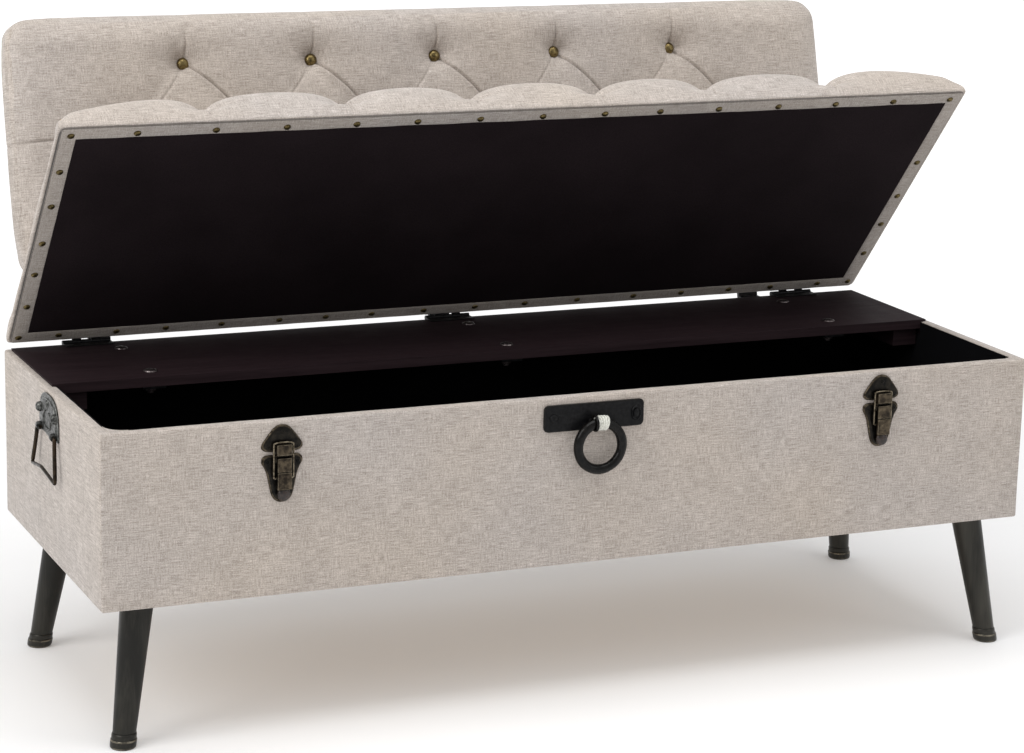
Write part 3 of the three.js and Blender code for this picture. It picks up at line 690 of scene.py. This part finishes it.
def domes(name, places, where, radius, height, material, body, facing=None):
    """Domed nail or button heads at those points of the frame, facing its +Z unless facing says otherwise."""
    steps = 5
    profile = [(radius * 0.8, -1.2), (radius, -0.4), (radius * 1.0, 0.15)]
    for i in range(1, steps + 1):
        a = math.pi / 2 * i / steps
        profile.append((max(radius * math.cos(a), 0.05), 0.15 + height * math.sin(a)))
    parts = []
    for i, place in enumerate(places):
        lean = turn(2.865 * math.sin(7.3 * i), "X") @ turn(2.865 * math.cos(4.1 * i), "Y")
        parts.append(moved(lathe(profile, 18), Matrix.Translation(place) @ (facing or Matrix()) @ lean))
    assembled(name, parts, where, material, body, sharp=60)


# Backrest: frame with X along the bench, Y up the slope from its middle, +Z out of the front of the pad.
BACK_FRAME = SLOPE @ shift(0, BACK_PAD, BACK_HEIGHT / 2) @ ON_FRONT
TOP_ROW, MID_ROW, LOW_ROW = 271 - BACK_HEIGHT / 2, 175 - BACK_HEIGHT / 2, 79 - BACK_HEIGHT / 2
FIVE = [-360, -180, 0, 180, 360]
SIX = [-450, -270, -90, 90, 270, 450]
BACK_BULGE = 11.0


def backrest():
    buttons = [(x, TOP_ROW) for x in FIVE] + [(x, MID_ROW) for x in SIX] + [(x, LOW_ROW) for x in FIVE]
    seams, folds = [], []
    top, low, side = BACK_HEIGHT / 2, -BACK_HEIGHT / 2, BACK_LENGTH / 2
    for x in FIVE:
        for y in (TOP_ROW, LOW_ROW):
            for dx in (-90, 90):
                seams.append(((x, y), (x + dx, MID_ROW), 5, 1.0, 5, 15, 0))
                strong = (dx > 0) == (y > MID_ROW)
                bend = 6.0 if y > MID_ROW else -6.0
                folds.append(((x, y), (x + dx, MID_ROW), 4.2 if strong else 1.3, 1.8 if strong else 0.3,
                              -bend, 10, 10 if strong else 50))
        seams.append(((x, TOP_ROW), (x, top), 9, 3.4, 0.6, 17, 0))
        folds.append(((x, TOP_ROW), (x - 1, top - 8), 3.4, 1.0, 2.5, 10, 34))
        seams.append(((x, LOW_ROW), (x, low), 9, 3.4, 0.6, 17, 0))
        folds.append(((x, LOW_ROW), (x, low + 8), 3.4, 1.0, 2.5, 10, 34))
    for s in (-1, 1):
        seams.append(((s * 450, MID_ROW), (s * side, MID_ROW), 6, 2.0, 1.5, 24, 0))
        folds.append(((s * 450, MID_ROW), (s * (side + 14), MID_ROW - 3), 3.0, 0.8, 2, 8, 1))

    tufted("backrest", BACK_FRAME, (BACK_LENGTH, BACK_HEIGHT - 1, BACK_PAD - 1), (6.0, 6.0, 7.0),
           (30, 24, BACK_BULGE), buttons, seams, (19.0, 12.0), folds, 0.003, "box", "linen_slope")


# Seat: frame with X along the bench, Y towards the hinge from its middle, +Z out of the top of the lid.
SEAT_MIDDLE = -(LID_REAR + LID_WIDTH / 2)
HEM_Z = 4.2                   # foot of the pad's cover, just above the turned-in strip
SEAT_BULGE = 5.0
SEAT_FRAME = LID @ shift(0, SEAT_MIDDLE, HEM_Z)
SEAT_SIX = [-436, -254, -84, 90, 251, 430]
SEAT_FIVE = [(a + b) / 2 for a, b in zip(SEAT_SIX, SEAT_SIX[1:])]
SEAT_ROWS = [75, 172, 269, 366]


def seat():
    front, rear, side = -LID_WIDTH / 2, LID_WIDTH / 2, LID_LENGTH / 2
    rows = [front + r for r in SEAT_ROWS]
    columns = [SEAT_SIX, SEAT_FIVE, SEAT_SIX, SEAT_FIVE]
    buttons = [(x, y) for y, xs in zip(rows, columns) for x in xs]
    seams, folds = [], []
    for (y0, a), (y1, b) in zip(zip(rows, columns), zip(rows[1:], columns[1:])):
        for x0 in a:
            for x1 in b:
                if abs(x0 - x1) < 100:
                    seams.append(((x0, y0), (x1, y1), 16, 6, 16, 20, 0))
                    groove, lip = (3.0, 1.4) if x1 > x0 else (1.4, 0.4)
                    folds.append(((x0, y0), (x1, y1), groove, lip, 3, 10, 10))
    for x in SEAT_SIX:
        seams.append(((x, rows[0]), (x, front), 20, 20, 28, 21, 0))
        folds.append(((x, rows[0]), (x, front - 8), 4.0, 0.5, 0, 8, 1))
    for x in SEAT_FIVE:
        seams.append(((x, rows[3]), (x, rear), 16, 10, 16, 20, 0))
        folds.append(((x, rows[3]), (x, rear + 8), 3.0, 0.5, 0, 8, 1))
    for s, x in ((-1, SEAT_SIX[0]), (1, SEAT_SIX[-1])):
        for y in (rows[0], rows[2]):
            seams.append(((x, y), (s * side, y), 14, 6, 5, 24, 0))
            folds.append(((x, y), (s * (side - 12), y), 1.4, 0.6, 2, 8, 20))

    def drop(flat):
        reach = np.where(flat[:, 0] < 0, 210, 150)
        edge = np.clip((side - np.abs(flat[:, 0])) / reach, 0, 1)
        return np.where(flat[:, 0] < 0, 29.0, 25.0) * (1 - edge) ** 2.2 - 3.5

    size = (LID_LENGTH + 2 * SEAT_BULGE, LID_WIDTH + SEAT_BULGE, PAD_HIGH - HEM_Z)
    # The seat's cover is the lighter copy of the linen: painted light.
    tufted("seat", SEAT_FRAME, size, (6.0, 6.0, 6.0), (26, 34, 0.0), buttons, seams, (24.0, 19.0), folds,
           0.004, "lid", "linen_lid", drop, (PAD_LOW - HEM_Z, SEAT_BULGE + CLOTH))


# ---------- fabric shells swept round a rectangle ----------
def ring_points(half_x, y0, y1, radius, step):
    """Points round a rectangle with rounded corners, each with its outward direction, anticlockwise."""
    out = []
    corners = [(half_x - radius, y0 + radius, -90), (half_x - radius, y1 - radius, 0),
               (-half_x + radius, y1 - radius, 90), (-half_x + radius, y0 + radius, 180)]
    for k, (cx, cy, start) in enumerate(corners):
        for i in range(7):
            a = math.radians(start + 15 * i)
            out.append((cx + radius * math.cos(a), cy + radius * math.sin(a), math.cos(a), math.sin(a)))
        nx, ny, begin = corners[(k + 1) % 4]
        a = math.radians(start + 90)
        p = np.array([cx + radius * math.cos(a), cy + radius * math.sin(a)])
        b = math.radians(begin)
        q = np.array([nx + radius * math.cos(b), ny + radius * math.sin(b)])
        count = max(2, round(np.hypot(*(q - p)) / step))
        for i in range(1, count):
            m = p + (q - p) * i / count
            out.append((m[0], m[1], math.cos(a), math.sin(a)))
    return out


def swept(profile, half_x, y0, y1, radius, step, wobble):
    """Closed profile of (inset, height) carried round the rectangle. wobble moves each point a little."""
    ring = ring_points(half_x, y0, y1, radius, step)
    verts = []
    for x, y, nx, ny in ring:
        for inset, z in profile:
            px, py = x - nx * inset, y - ny * inset
            if inset > radius:
                px = math.copysign(min(abs(px), half_x - inset), px)
                py = min(max(py, y0 + inset), y1 - inset)
            move = wobble(px, py, z, inset)
            verts.append((px + nx * move[0], py + ny * move[0], z + move[1]))
    return verts, [(a, d, c, b) for a, b, c, d in skin(len(ring), len(profile), True)]


def ripple(x, y, z):
    """Gentle unevenness of stretched cloth, in about -1 to 1."""
    return (math.sin(0.021 * x + 0.9 * math.sin(0.013 * z + 0.01 * y)) * math.sin(0.017 * z + 0.8)
            + 0.5 * math.sin(0.047 * x + 0.055 * y + 0.031 * z)) / 1.5


def box_cover():
    """Stretched cover: folded in over the rim, down the outside and under the bottom edge."""
    top = RIM_Z
    profile = [(RIM, top - 10), (RIM, top - 3), (RIM - 0.8, top - 1.0), (RIM - 2.6, top), (8, top + 0.1),
               (3.2, top), (1.4, top - 0.5), (0.4, top - 1.6), (0, top - 3.4)]
    rows = 26
    for i in range(1, rows):
        profile.append((0, top - 3.4 - (top - 3.4 - UNDERSIDE_Z - 3) * i / rows))
    profile += [(0, UNDERSIDE_Z + 3), (0.5, UNDERSIDE_Z + 1), (1.6, UNDERSIDE_Z + 0.1), (4, UNDERSIDE_Z),
                (9, UNDERSIDE_Z), (9, UNDERSIDE_Z + 0.8), (1.3, UNDERSIDE_Z + 2.2), (1.2, top - 2.5),
                (3, top - 1.3), (RIM - 2, top - 1.3), (RIM - 1.2, top - 3), (RIM - 1.2, top - 10)]

    def wobble(x, y, z, inset):
        if inset > 1.0 and z < top - 1:
            return 0.0, 0.0
        body = max(0.15, min(1.0, (top - z) / 25, (z - UNDERSIDE_Z) / 25))
        sag = 0.18 * ripple(x * 1.7, y, 0) if inset > 2 else 0.0
        return 0.35 * ripple(x, y, z) * body, sag

    parts = [swept(profile, HALF, 0, DEPTH, 3.2, 14, wobble)]
    for s, gusset in ((-1, 24.0), (1, 9.0)):      # the turned-in cloth rounds off the mouth's front corners
        corner = [(s * (HALF - RIM + 1), RIM - 1), (s * (HALF - RIM - gusset), RIM - 1)]
        for i in range(13):
            a = math.pi / 24 * i
            corner.append((s * (HALF - RIM - gusset * (1 - math.sin(a))), RIM + gusset * (1 - math.cos(a))))
        corner.append((s * (HALF - RIM + 1), RIM + gusset))
        parts.append(plate(corner, top - 0.9, top - 0.05, 0.3))
    assembled("box_fabric", parts, BOX, "linen_box linen_box", "box", ("box_cover",), 50)


# Hand-driven nails: along the lid's front and hinge edges by X, and along its ends by distance from the
# hinge edge. Those of the hinge edge stand clear of the hinges.
FRONT_NAILS = [-610, -528, -429, -338, -247, -166, -81, 5, 92, 171, 256, 344, 430, 518, 606]
REAR_NAILS = [-614, -561, -483, -416, -339, -258, -192, -126, -50, 26, 101, 181, 268, 343, 419, 486, 563,
              614]
END_NAILS = [77, 144, 207, 280, 346]


def lid_cover():
    """Strip of the cover turned under the lid's edge, from the foot of the pad to the dark panel."""
    z0 = LID_LIFT
    up = z0 + 5.0
    profile = [(LID_STRIP, z0 + 1.3), (LID_STRIP, z0 + 0.3), (LID_STRIP - 0.9, z0 - 0.1), (14, z0),
               (8, z0 - 0.1), (3.2, z0), (1.0, z0 + 0.1), (0.2, z0 + 0.4), (-0.3, z0 + 0.9),
               (-0.3, z0 + 1.3), (0.3, z0 + 1.7), (0.5, up), (1.3, up), (1.5, z0 + 2.2), (8, z0 + 1.4)]

    def wobble(x, y, z, inset):
        if inset < 1.4 and z > z0 + 1.5:
            return 0.0, 0.0
        pull = math.cos(2 * math.pi * x / 87) if abs(abs(x) - LID_LENGTH / 2) > 25 else 0
        return 0.25 * ripple(3 * x, 3 * y, z), 0.25 * pull * (inset > 2) * (z < z0 + 1)

    # The strip is the darker copy of the linen: painted shade.
    verts, faces = swept(profile, LID_LENGTH / 2, -LID_REAR - LID_WIDTH, -LID_REAR, 4, 9, wobble)
    # The faces round the strip's outer edge, under the foot of the pad, are painted near black: a painted
    # shadow line along the seam.
    seam = [1 if 6 <= i % len(profile) <= 10 else 0 for i in range(len(faces))]
    assembled("lid_edge_cloth", [(verts, faces, seam)], LID, "linen_strip linen_seam", "lid",
              ("lid_border",), 50)

    front, rear, side = -LID_REAR - LID_WIDTH, -LID_REAR, LID_LENGTH / 2
    places = [(x, front + 13, z0) for x in FRONT_NAILS] + [(x, rear - 11, z0) for x in REAR_NAILS]
    places += [(10 - side, rear - r, z0) for r in END_NAILS]
    places += [(side - 10, rear - r, z0) for r in END_NAILS[:4]]
    domes("lid_nails", places, LID, 4.6, 2.6, "nail", "lid", turn(180, "X"))


def back_board():
    """Covered board behind the backrest pad, with a flat cloth panel and a sewn edge."""
    half_x, half_y = BACK_LENGTH / 2 - 2, BACK_HEIGHT / 2 - 2
    thick = BACK_DEPTH - BACK_PAD
    size = (2 * half_x, 2 * half_y, thick)
    points, faces = lattice(size, (118, 34, 4))
    shape, _ = eased(points, [s / 2 for s in size], 25, 5)
    inset = np.minimum(half_x - np.abs(shape[:, 0]), half_y - np.abs(shape[:, 1]))
    groove = 1.3 * np.exp(-((inset - 12) / 3.5) ** 2) * (shape[:, 2] > 0)
    wave = np.array([0.5 * ripple(p[0] * 1.4, 0, p[1] * 1.7) for p in shape])
    shape[:, 2] += wave * (inset > 15) * (shape[:, 2] > 0) - groove
    rear = BACK_FRAME @ turn(180, "Y") @ shift(0, 0, thick / 2)
    obj = assembled("backrest_rear_panel", [(shape, faces)], rear, "linen_slope", "box",
                    ("backrest_board",), sharp=0)
    refine(obj)


# ---------- hardware ----------
def rounded(points, radius, steps=5):
    """Outline with its corners rounded by arcs of about that radius."""
    out = []
    count = len(points)
    for i, p in enumerate(points):
        a, b = Vector(points[i - 1]), Vector(points[(i + 1) % count])
        p = Vector(p)
        reach = min(radius, (a - p).length * 0.45, (b - p).length * 0.45)
        start, end = p + (a - p).normalized() * reach, p + (b - p).normalized() * reach
        for k in range(steps + 1):
            t = k / steps
            out.append(tuple((1 - t) ** 2 * start + 2 * t * (1 - t) * p + t * t * end))
    return out


def ring_pull():
    x0, y0, top, radius, wire = 3.6, -14.8, 358.2, 29.8, 6.2
    base = moved(plate(rounded(rectangle(68.0, 347.6, 381.6), 7), 0.3, 3.6, 1.3, 4), ON_FRONT)
    dome = lathe([(6.3, 3.1), (6.2, 4.0), (5.4, 5.6), (3.4, 6.7), (1.2, 7.1), (0.1, 7.1)], 28)
    left = moved(dome, shift(-55, 0, 365.5) @ turn(90, "X") @ Matrix.Diagonal((1, 0.85, 1, 1)))
    cup = lathe([(8.2, 3.0), (8.2, 4.4), (7.4, 5.3), (6.6, 5.0), (5.6, 3.9), (4.4, 3.8), (4.2, 5.2),
                 (3.0, 6.0), (0.1, 6.2)], 28)
    right = moved(cup, shift(57, 0, 364.5) @ turn(90, "X") @ Matrix.Diagonal((0.85, 1.2, 1, 1)))
    remade("ring_plate", "forged", [base, left, right], BOX, "iron iron_edge", "box", 45)

    eye_x = -4.2
    loop = [(0, y, z) for y, z in circle(9.3, 32)]
    eye = moved(tube(loop, 1.8, 14, True), shift(eye_x, y0, top))
    stem = tube([(eye_x, y, top) for y in (y0 + 8.8, -4, -0.6)], 1.9, 14)
    collar = lathe([(4.2, 3.3), (4.2, 4.4), (3.2, 5.2), (2.0, 5.4)], 20)
    collar = moved(collar, shift(eye_x, 0, top) @ turn(90, "X"))
    remade("ring_eye", "forged", [eye, stem, collar], BOX, "iron_edge", "box", 45)

    hung = BOX @ shift(x0, y0, top)
    path = [(x, 0, z - radius) for x, z in circle(radius, 72)]
    angles = [2 * math.pi * i / 72 for i in range(72)]
    radii = [wire + 0.15 * math.sin(3 * a + 1) + 0.1 * math.sin(7 * a) for a in angles]
    remade("pull_ring", "forged", [tube(path, radii, 28, True)], hung, "iron_edge", "ring", 60)

    turns, parts = 5, []
    for k in range(turns):
        a = math.radians(90 + 9 - 22 * k / (turns - 1))
        centre = Vector((radius * math.cos(a), 0, -radius + radius * math.sin(a)))
        outward = Vector((math.cos(a), 0, math.sin(a)))
        loop = [centre + outward * out + Vector((0, across, 0)) for out, across in circle(8.0, 28)]
        parts.append(tube(loop, 1.55, 10, True))
    assembled("ring_wrap", parts, hung, "twine", "ring", ("ring_band",), 60)


def slab_x(profile, x0, x1, bevel=0.5):
    """Profile in (y, z) carried along X with bevelled end edges."""
    side = plate([(y, z) for y, z in profile], 0, (x1 - x0) / 2, bevel)
    axes = Matrix(((0, 0, 1, 0), (1, 0, 0, 0), (0, 1, 0, 0), (0, 0, 0, 1)))
    middle = (x0 + x1) / 2
    right = moved(side, shift(middle) @ axes)
    left = moved(side, shift(middle) @ Matrix.Diagonal((-1, 1, 1, 1)) @ axes)
    return [right, flipped(left)]


KEEPER = [(0, 353), (12, 353), (22, 354), (26.3, 358), (25.5, 363), (18, 373.5), (11, 382), (6, 385.6),
          (0, 386.6)]
BASE = [(0, 290.5), (6, 291.5), (11, 295.5), (14, 302), (19, 326), (22, 334), (26, 340), (25.5, 346),
        (21, 349.4), (0, 349.8)]


def cast_plate(half, levels):
    """Cast plate, its outline drawn in as it rises. A level is (inset, height, material above it)."""
    outline = rounded(mirrored(half), 2.5, 4)
    us, vs = [u for u, _ in outline], [v for _, v in outline]
    wide, tall, middle = max(us), (max(vs) - min(vs)) / 2, (max(vs) + min(vs)) / 2
    n = len(outline)
    verts = []
    for inset, height, _ in levels:
        across, along_v = 1 - inset / wide, 1 - inset / tall
        verts += [(u * across, middle + (v - middle) * along_v, height) for u, v in outline]
    marks = [mark for _, _, mark in levels[:-1] for _ in range(n)] + [0, 0]
    return moved((verts, skin(len(levels), n), marks), ON_FRONT)


def block(outline, low, high, bevel, plain, edge):
    """Block on the front: outline in (x, z) between two distances from the box, with its outer edges worn."""
    verts, faces, marks = moved(plate(outline, low, high, bevel), ON_FRONT)
    return verts, faces, [edge if m else plain for m in marks]


# The four lowest levels, the plate's rising rim, take material 1, the lighter rim bronze: partly worn metal,
# partly a painted highlight.
CASTING = [(0, 0.3, 1), (0, 1.1, 1), (0.4, 1.9, 1), (1.3, 2.5, 1), (2.4, 2.6, 0), (3.6, 3.2, 0),
           (7.0, 3.5, 0), (9.0, 3.5, 0)]


def latches():
    for side, cx in (("left", -408), ("right", 410)):
        here = BOX @ shift(cx)
        hook = rounded(rectangle(9.4, 350.5, 363.5), 0.8, 2)
        keeper = [cast_plate(KEEPER, CASTING), block(hook, 1.3, 12.4, 0.7, 2, 3)]
        for x, z in ((-18, 359), (18, 359), (0, 378)):
            keeper.append(moved(screw(2.4, 1.1), shift(x, -3.3, z) @ turn(90, "X") @ turn(x * 2 + 20, "Z")))
        remade(f"latch_keeper_{side}", "cast", keeper, here, "bronze_plate bronze_rim bronze bronze_worn",
               "box", 35)

        base = [cast_plate(BASE, CASTING)]
        lug = rounded([(-1, 340.6), (-9.6, 341), (-10.4, 344.5), (-9.6, 348), (-1, 348)], 1.2, 3)
        for s in (-1, 1):
            base += slab_x(lug, min(s * 9.2, s * 10.8), max(s * 9.2, s * 10.8), 0.3)
        for x, z in ((-19, 341), (19, 341)):
            base.append(moved(screw(2.4, 1.1), shift(x, -3.2, z) @ turn(90, "X") @ turn(35 + x, "Z")))
        remade(f"latch_base_{side}", "cast", base, here, "bronze_plate bronze_rim", "box",
               35)
        latch_lever(side, here)


def screw(radius, height):
    """Round head with a cross slot, facing +Z."""
    sides, profile = 20, [(radius, 0.0), (radius, 0.4), (radius * 0.8, height * 0.8), (radius * 0.45, height),
                          (radius * 0.3, height), (radius * 0.12, height * 0.45)]
    verts, faces, marks = lathe(profile, sides)
    shaped = []
    for x, y, z in verts:
        in_slot = min(abs(x), abs(y)) < radius * 0.16 and math.hypot(x, y) < radius * 0.6
        shaped.append((x, y, z - (height * 0.4 if in_slot else 0)))
    return shaped, faces, marks


def latch_lever(side, here):
    y0, z0 = -7.0, 344.5
    upper = rectangle(8.7, 330.2, 347.0)
    lower = [(-9.0, 308.6), (9.0, 308.6), (8.6, 329.4), (-8.6, 329.4)]
    # The core block behind the lever's plates takes mark 2, the darkest bronze: painted shade on its recessed
    # side walls.
    parts = [block(upper, 10.2, 12.5, 0.5, 0, 1), block(lower, 10.0, 13.4, 0.7, 0, 1),
             block(rectangle(8.4, 310, 345), 8.4, 11.0, 0.2, 2, 2)]
    angles = np.linspace(0.05, math.pi - 0.05, 19)
    tongue = lathe([(8.2 * math.sin(a), -8.2 * math.cos(a)) for a in angles], 28)
    tongue = moved(tongue, shift(0, -8.8, 302.2) @ Matrix.Diagonal((1, 0.6, 1.02, 1)))
    parts.append(painted(tongue, 3))

    def rod(z, y, radius, half, mark):
        return painted(tube([(x, y0 + y, z0 + z) for x in (-half, 0, half)], radius, 18), mark)

    parts += [rod(0, -0.6, 3.0, 8.4, 2), rod(-22.5, -0.9, 2.9, 8.4, 2), rod(0, 0, 1.45, 11.2, 1)]
    remade(f"latch_lever_{side}", "cast", parts, here, "bronze bronze_worn bronze_plate tongue",
           f"lever_{side}", 35)

    x, y, low, top = 12.2, y0 - 0.9, 322.0, 364.9
    path = [(4, y, low), (x - 2, y, low), (x - 0.5, y, low + 0.6), (x, y, low + 2.2), (x, y, (low + top) / 2),
            (x, y, top - 2.5), (x - 0.8, y, top - 0.6), (x - 2.8, y, top + 0.1), (5, y, top + 0.7)]
    path = path + [(0, y, top + 0.9)] + [(-px, py, pz) for px, py, pz in reversed(path)]
    remade(f"latch_loop_{side}", "wire", [tube(smooth_path(path, 3), 1.2, 12)], here, "bronze_worn",
           f"loop_{side}", 50)


def handles():
    for side, s in (("left", -1), ("right", 1)):
        axes = Matrix(((0, 0, s, s * HALF), (1, 0, 0, 229), (0, 1, 0, 0), (0, 0, 0, 1)))   # (y, z, out)
        arch = []
        for i in range(33):
            a = math.pi * i / 32
            across = math.copysign(abs(math.cos(a)) ** 0.75, math.cos(a))
            arch.append((45 * across, 341 + 45 * math.sin(a) ** 0.65))
        arch += [(-44, 334.5), (-36, 333), (-22, 334.5), (-8, 333), (8, 333), (22, 334.5), (36, 333),
                 (44, 334.5)]
        inner = [(u * 0.84, 359 + (v - 359) * 0.78) for u, v in arch]
        # The bevels of both plates take material 1, the lighter edge pewter: a painted edge highlight.
        parts = [plate(arch, 0.3, 2.4, 0.9, 3), plate(inner, 2.2, 3.7, 1.1, 3)]
        knuckle = lathe([(4.2, -4.4), (4.7, -3.6), (4.7, 3.6), (4.2, 4.4)], 22)
        for q in (-1, 1):
            parts.append(moved(knuckle, shift(q * 33, 339.5, 5.2) @ turn(90, "Y")))
            parts.append(moved(lathe([(6.6, 2.0), (6.4, 4.6), (5.6, 7.0), (3.4, 8.8), (0.1, 9.3)], 22),
                               shift(q * 35, 363, 0)))
            scroll = [(q * (8 + 9 * math.sin(t)), 357 + 7 * math.cos(t) - 2.2 * t, 3.8) for t in
                      np.linspace(0, 4.2, 26)]
            parts.append(tube(scroll, 1.3, 8))
        parts.append(moved(lathe([(5.2, 2.8), (5.0, 4.2), (3.6, 5.6), (0.1, 6.4)], 22), shift(0, 374, 0)))
        if s < 0:
            parts = [flipped(p) for p in parts]
        remade(f"handle_plate_{side}", "cast", parts, BOX @ axes, "pewter pewter_edge", "box",
               40)

        half = [(26.5, 339, 5.6), (35, 339, 5.6), (39.8, 338.6, 5.6), (41.6, 335, 5.9), (45, 321, 6.8),
                (53, 295, 8.7), (54.6, 289.2, 9.1), (53.4, 287.0, 9.3), (50, 287.2, 9.5), (38, 289.2, 10.1),
                (20, 292.1, 11.0), (4, 294.7, 11.9)]
        path = [(-u, v, w) for u, v, w in half] + [(0, 295.0, 12.1)] + half[::-1]
        curve = smooth_path(path, 5)
        radii = [2.6 if p.y > 291 and abs(p.x) > 30 else 2.2 for p in curve]
        bail = tube(curve, radii, 16)
        if s < 0:
            bail = flipped(bail)
        remade(f"handle_bail_{side}", "cast", [bail], BOX @ axes, "bail", f"bail_{side}",
               60)


def leg(name, x, y, sx, sy):
    """Tapered tube that leans outward to its foot, and the ferrule under it. A level is (z, radius,
    material above it)."""
    ferrule, splay = 18.0, 27.0
    top_z, sides = 175.4, 40      # the top is just under the mounting plate

    def stack(levels):
        verts = []
        for z, r, _ in levels:
            cx, cy = x - sx * splay * z / top_z, y - sy * splay * z / top_z
            verts += [(cx + u, cy + v, z) for u, v in circle(r, sides)]
        marks = [mark for _, _, mark in levels[:-1] for _ in range(sides)]
        return verts, skin(len(levels), sides), marks + [marks[0], marks[-1]]

    shaft = [(ferrule + 0.3, 13.4, 0), (ferrule + 0.5, 14.2, 0)]
    for i in range(13):
        t = i / 12
        shaft.append((ferrule + 3 + (top_z - 3 - ferrule) * t, 14.4 + (20.5 - 14.4) * t, 0))
    remade(f"leg_{name}", "tube", [stack(shaft)], BOX, "leg", "box", 50)
    # Levels marked 1 are the ferrule's rims in the lighter metal: partly worn metal, partly a painted
    # highlight.
    cap = [(0, 14.6, 0), (0.8, 15.5, 1), (2.2, 16.0, 0), (8.6, 16.2, 1), (9.8, 16.1, 1), (10.6, 15.6, 0),
           (11.0, 14.9, 0), (12.0, 15.2, 0), (15.6, 15.2, 0), (17.0, 14.9, 0), (17.9, 14.2, 0)]
    remade(f"ferrule_{name}", "cap", [stack(cap)], BOX, "leg leg_worn", "box", 35)


LEGS = {f"{row}_{side}": (602 * sx, y, sx, sy) for row, y, sy in (("front", 14, -1), ("rear", 416, 1))
        for side, sx in (("left", -1), ("right", 1))}


def paint_frame():
    """Materials for the CAD nodes that are shown as they are."""
    table = {
        "plywood": ["front_panel", "rear_panel", "bottom_board", "lid_board"],
        "deck": ["side_panel_left", "side_panel_right", "deck_board", "deck_cleat_left", "deck_cleat_right"],
        "lining": ["storage_lining"],
        "under_panel": ["lid_underside_panel"],
        "steel": [f"bracket_{s}" for s in ("left", "centre", "right")] + [f"leg_plate_{n}" for n in LEGS],
        "bolt": [f"deck_bolt_{i}" for i in range(1, 7)],
        "iron": [f"hinge_{part}_{i}" for part in ("base", "leaf") for i in (1, 2, 3)],
    }
    for key, names in table.items():
        for name in names:
            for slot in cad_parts[name].material_slots:
                slot.material = M[key]


# ---------- studio ----------
CAMERA = {"x": -1499.4, "y": -3201.0, "z": 1257.5, "azimuth": 23.442, "down": 13.462, "roll": 1.266,
          "lens": 103.08}
FLOOR_REACH, FLOOR_Z = 30.0, -0.0002        # metres, as everything in the studio


def studio():
    floor_mesh = bpy.data.meshes.new("floor")
    corners = [(x * FLOOR_REACH, y * FLOOR_REACH, FLOOR_Z) for x, y in ((-1, -1), (1, -1), (1, 1), (-1, 1))]
    floor_mesh.from_pydata(corners, [], [(0, 1, 2, 3)])
    floor = linked("floor", floor_mesh)
    n = Nodes("studio_floor", Roughness=0.7, Specular_IOR_Level=0.2)
    away = n.add("VectorMath", {"operation": "LENGTH"}, i0=n.position).outputs["Value"]
    glow = n.add("MapRange", {"interpolation_type": "SMOOTHSTEP"}, Value=away)
    for index, level in enumerate((0.9, 4.5, 0.14, 0.62), 1):
        glow.inputs[index].default_value = level
    n.put((1, 1, 1, 1), n.shader.inputs["Emission Color"])
    n.put(glow.outputs[0], n.shader.inputs["Emission Strength"])
    floor_mesh.materials.append(n.finish((0.84, 0.84, 0.845, 1)))

    world = bpy.data.worlds.new("studio")
    bpy.context.scene.world = world
    world.use_nodes = True
    sky = world.node_tree.nodes["Background"].inputs
    sky["Color"].default_value = (1.0, 1.0, 1.0, 1)
    sky["Strength"].default_value = 0.62

    def soft(name, place, size, power, colour=(1, 1, 1)):
        data = bpy.data.lights.new(name, "AREA")
        data.shape = "RECTANGLE"
        data.size, data.size_y = size
        data.energy = power
        data.color = colour
        light = linked(name, data)
        light.location = place
        light.rotation_euler = (Vector((0, 0, 0.4)) - Vector(place)).to_track_quat("-Z", "Y").to_euler()

    soft("key", (-3.6, -1.0, 2.8), (2.4, 2.4), 66, (1.0, 0.99, 0.975))
    soft("overhead", (0, -0.4, 3.6), (3.2, 2.4), 60)
    soft("fill", (2.6, -2.6, 2.0), (1.2, 2.0), 8)

    data = bpy.data.cameras.new("camera")
    data.lens, data.sensor_width = CAMERA["lens"], 36.0
    data.clip_end = 200
    camera = linked("camera", data)
    az, down, roll = (math.radians(CAMERA[k]) for k in ("azimuth", "down", "roll"))
    forward = Vector((math.sin(az) * math.cos(down), math.cos(az) * math.cos(down), -math.sin(down)))
    right = Vector((math.cos(az), -math.sin(az), 0))
    up = right.cross(forward)
    level = right * math.cos(roll) + up * math.sin(roll)
    upright = up * math.cos(roll) - right * math.sin(roll)
    basis = Matrix((level, upright, -forward)).transposed().to_4x4()
    place = Vector((CAMERA["x"], CAMERA["y"] - CENTRE_Y, CAMERA["z"])) / 1000
    camera.matrix_world = Matrix.Translation(place) @ basis
    bpy.context.scene.camera = camera
    bpy.context.scene.view_settings.view_transform = "Standard"


paint_frame()
backrest()
back_board()
seat()
box_cover()
lid_cover()
ring_pull()
latches()
handles()
for name, place in LEGS.items():
    leg(name, *place)
studio()
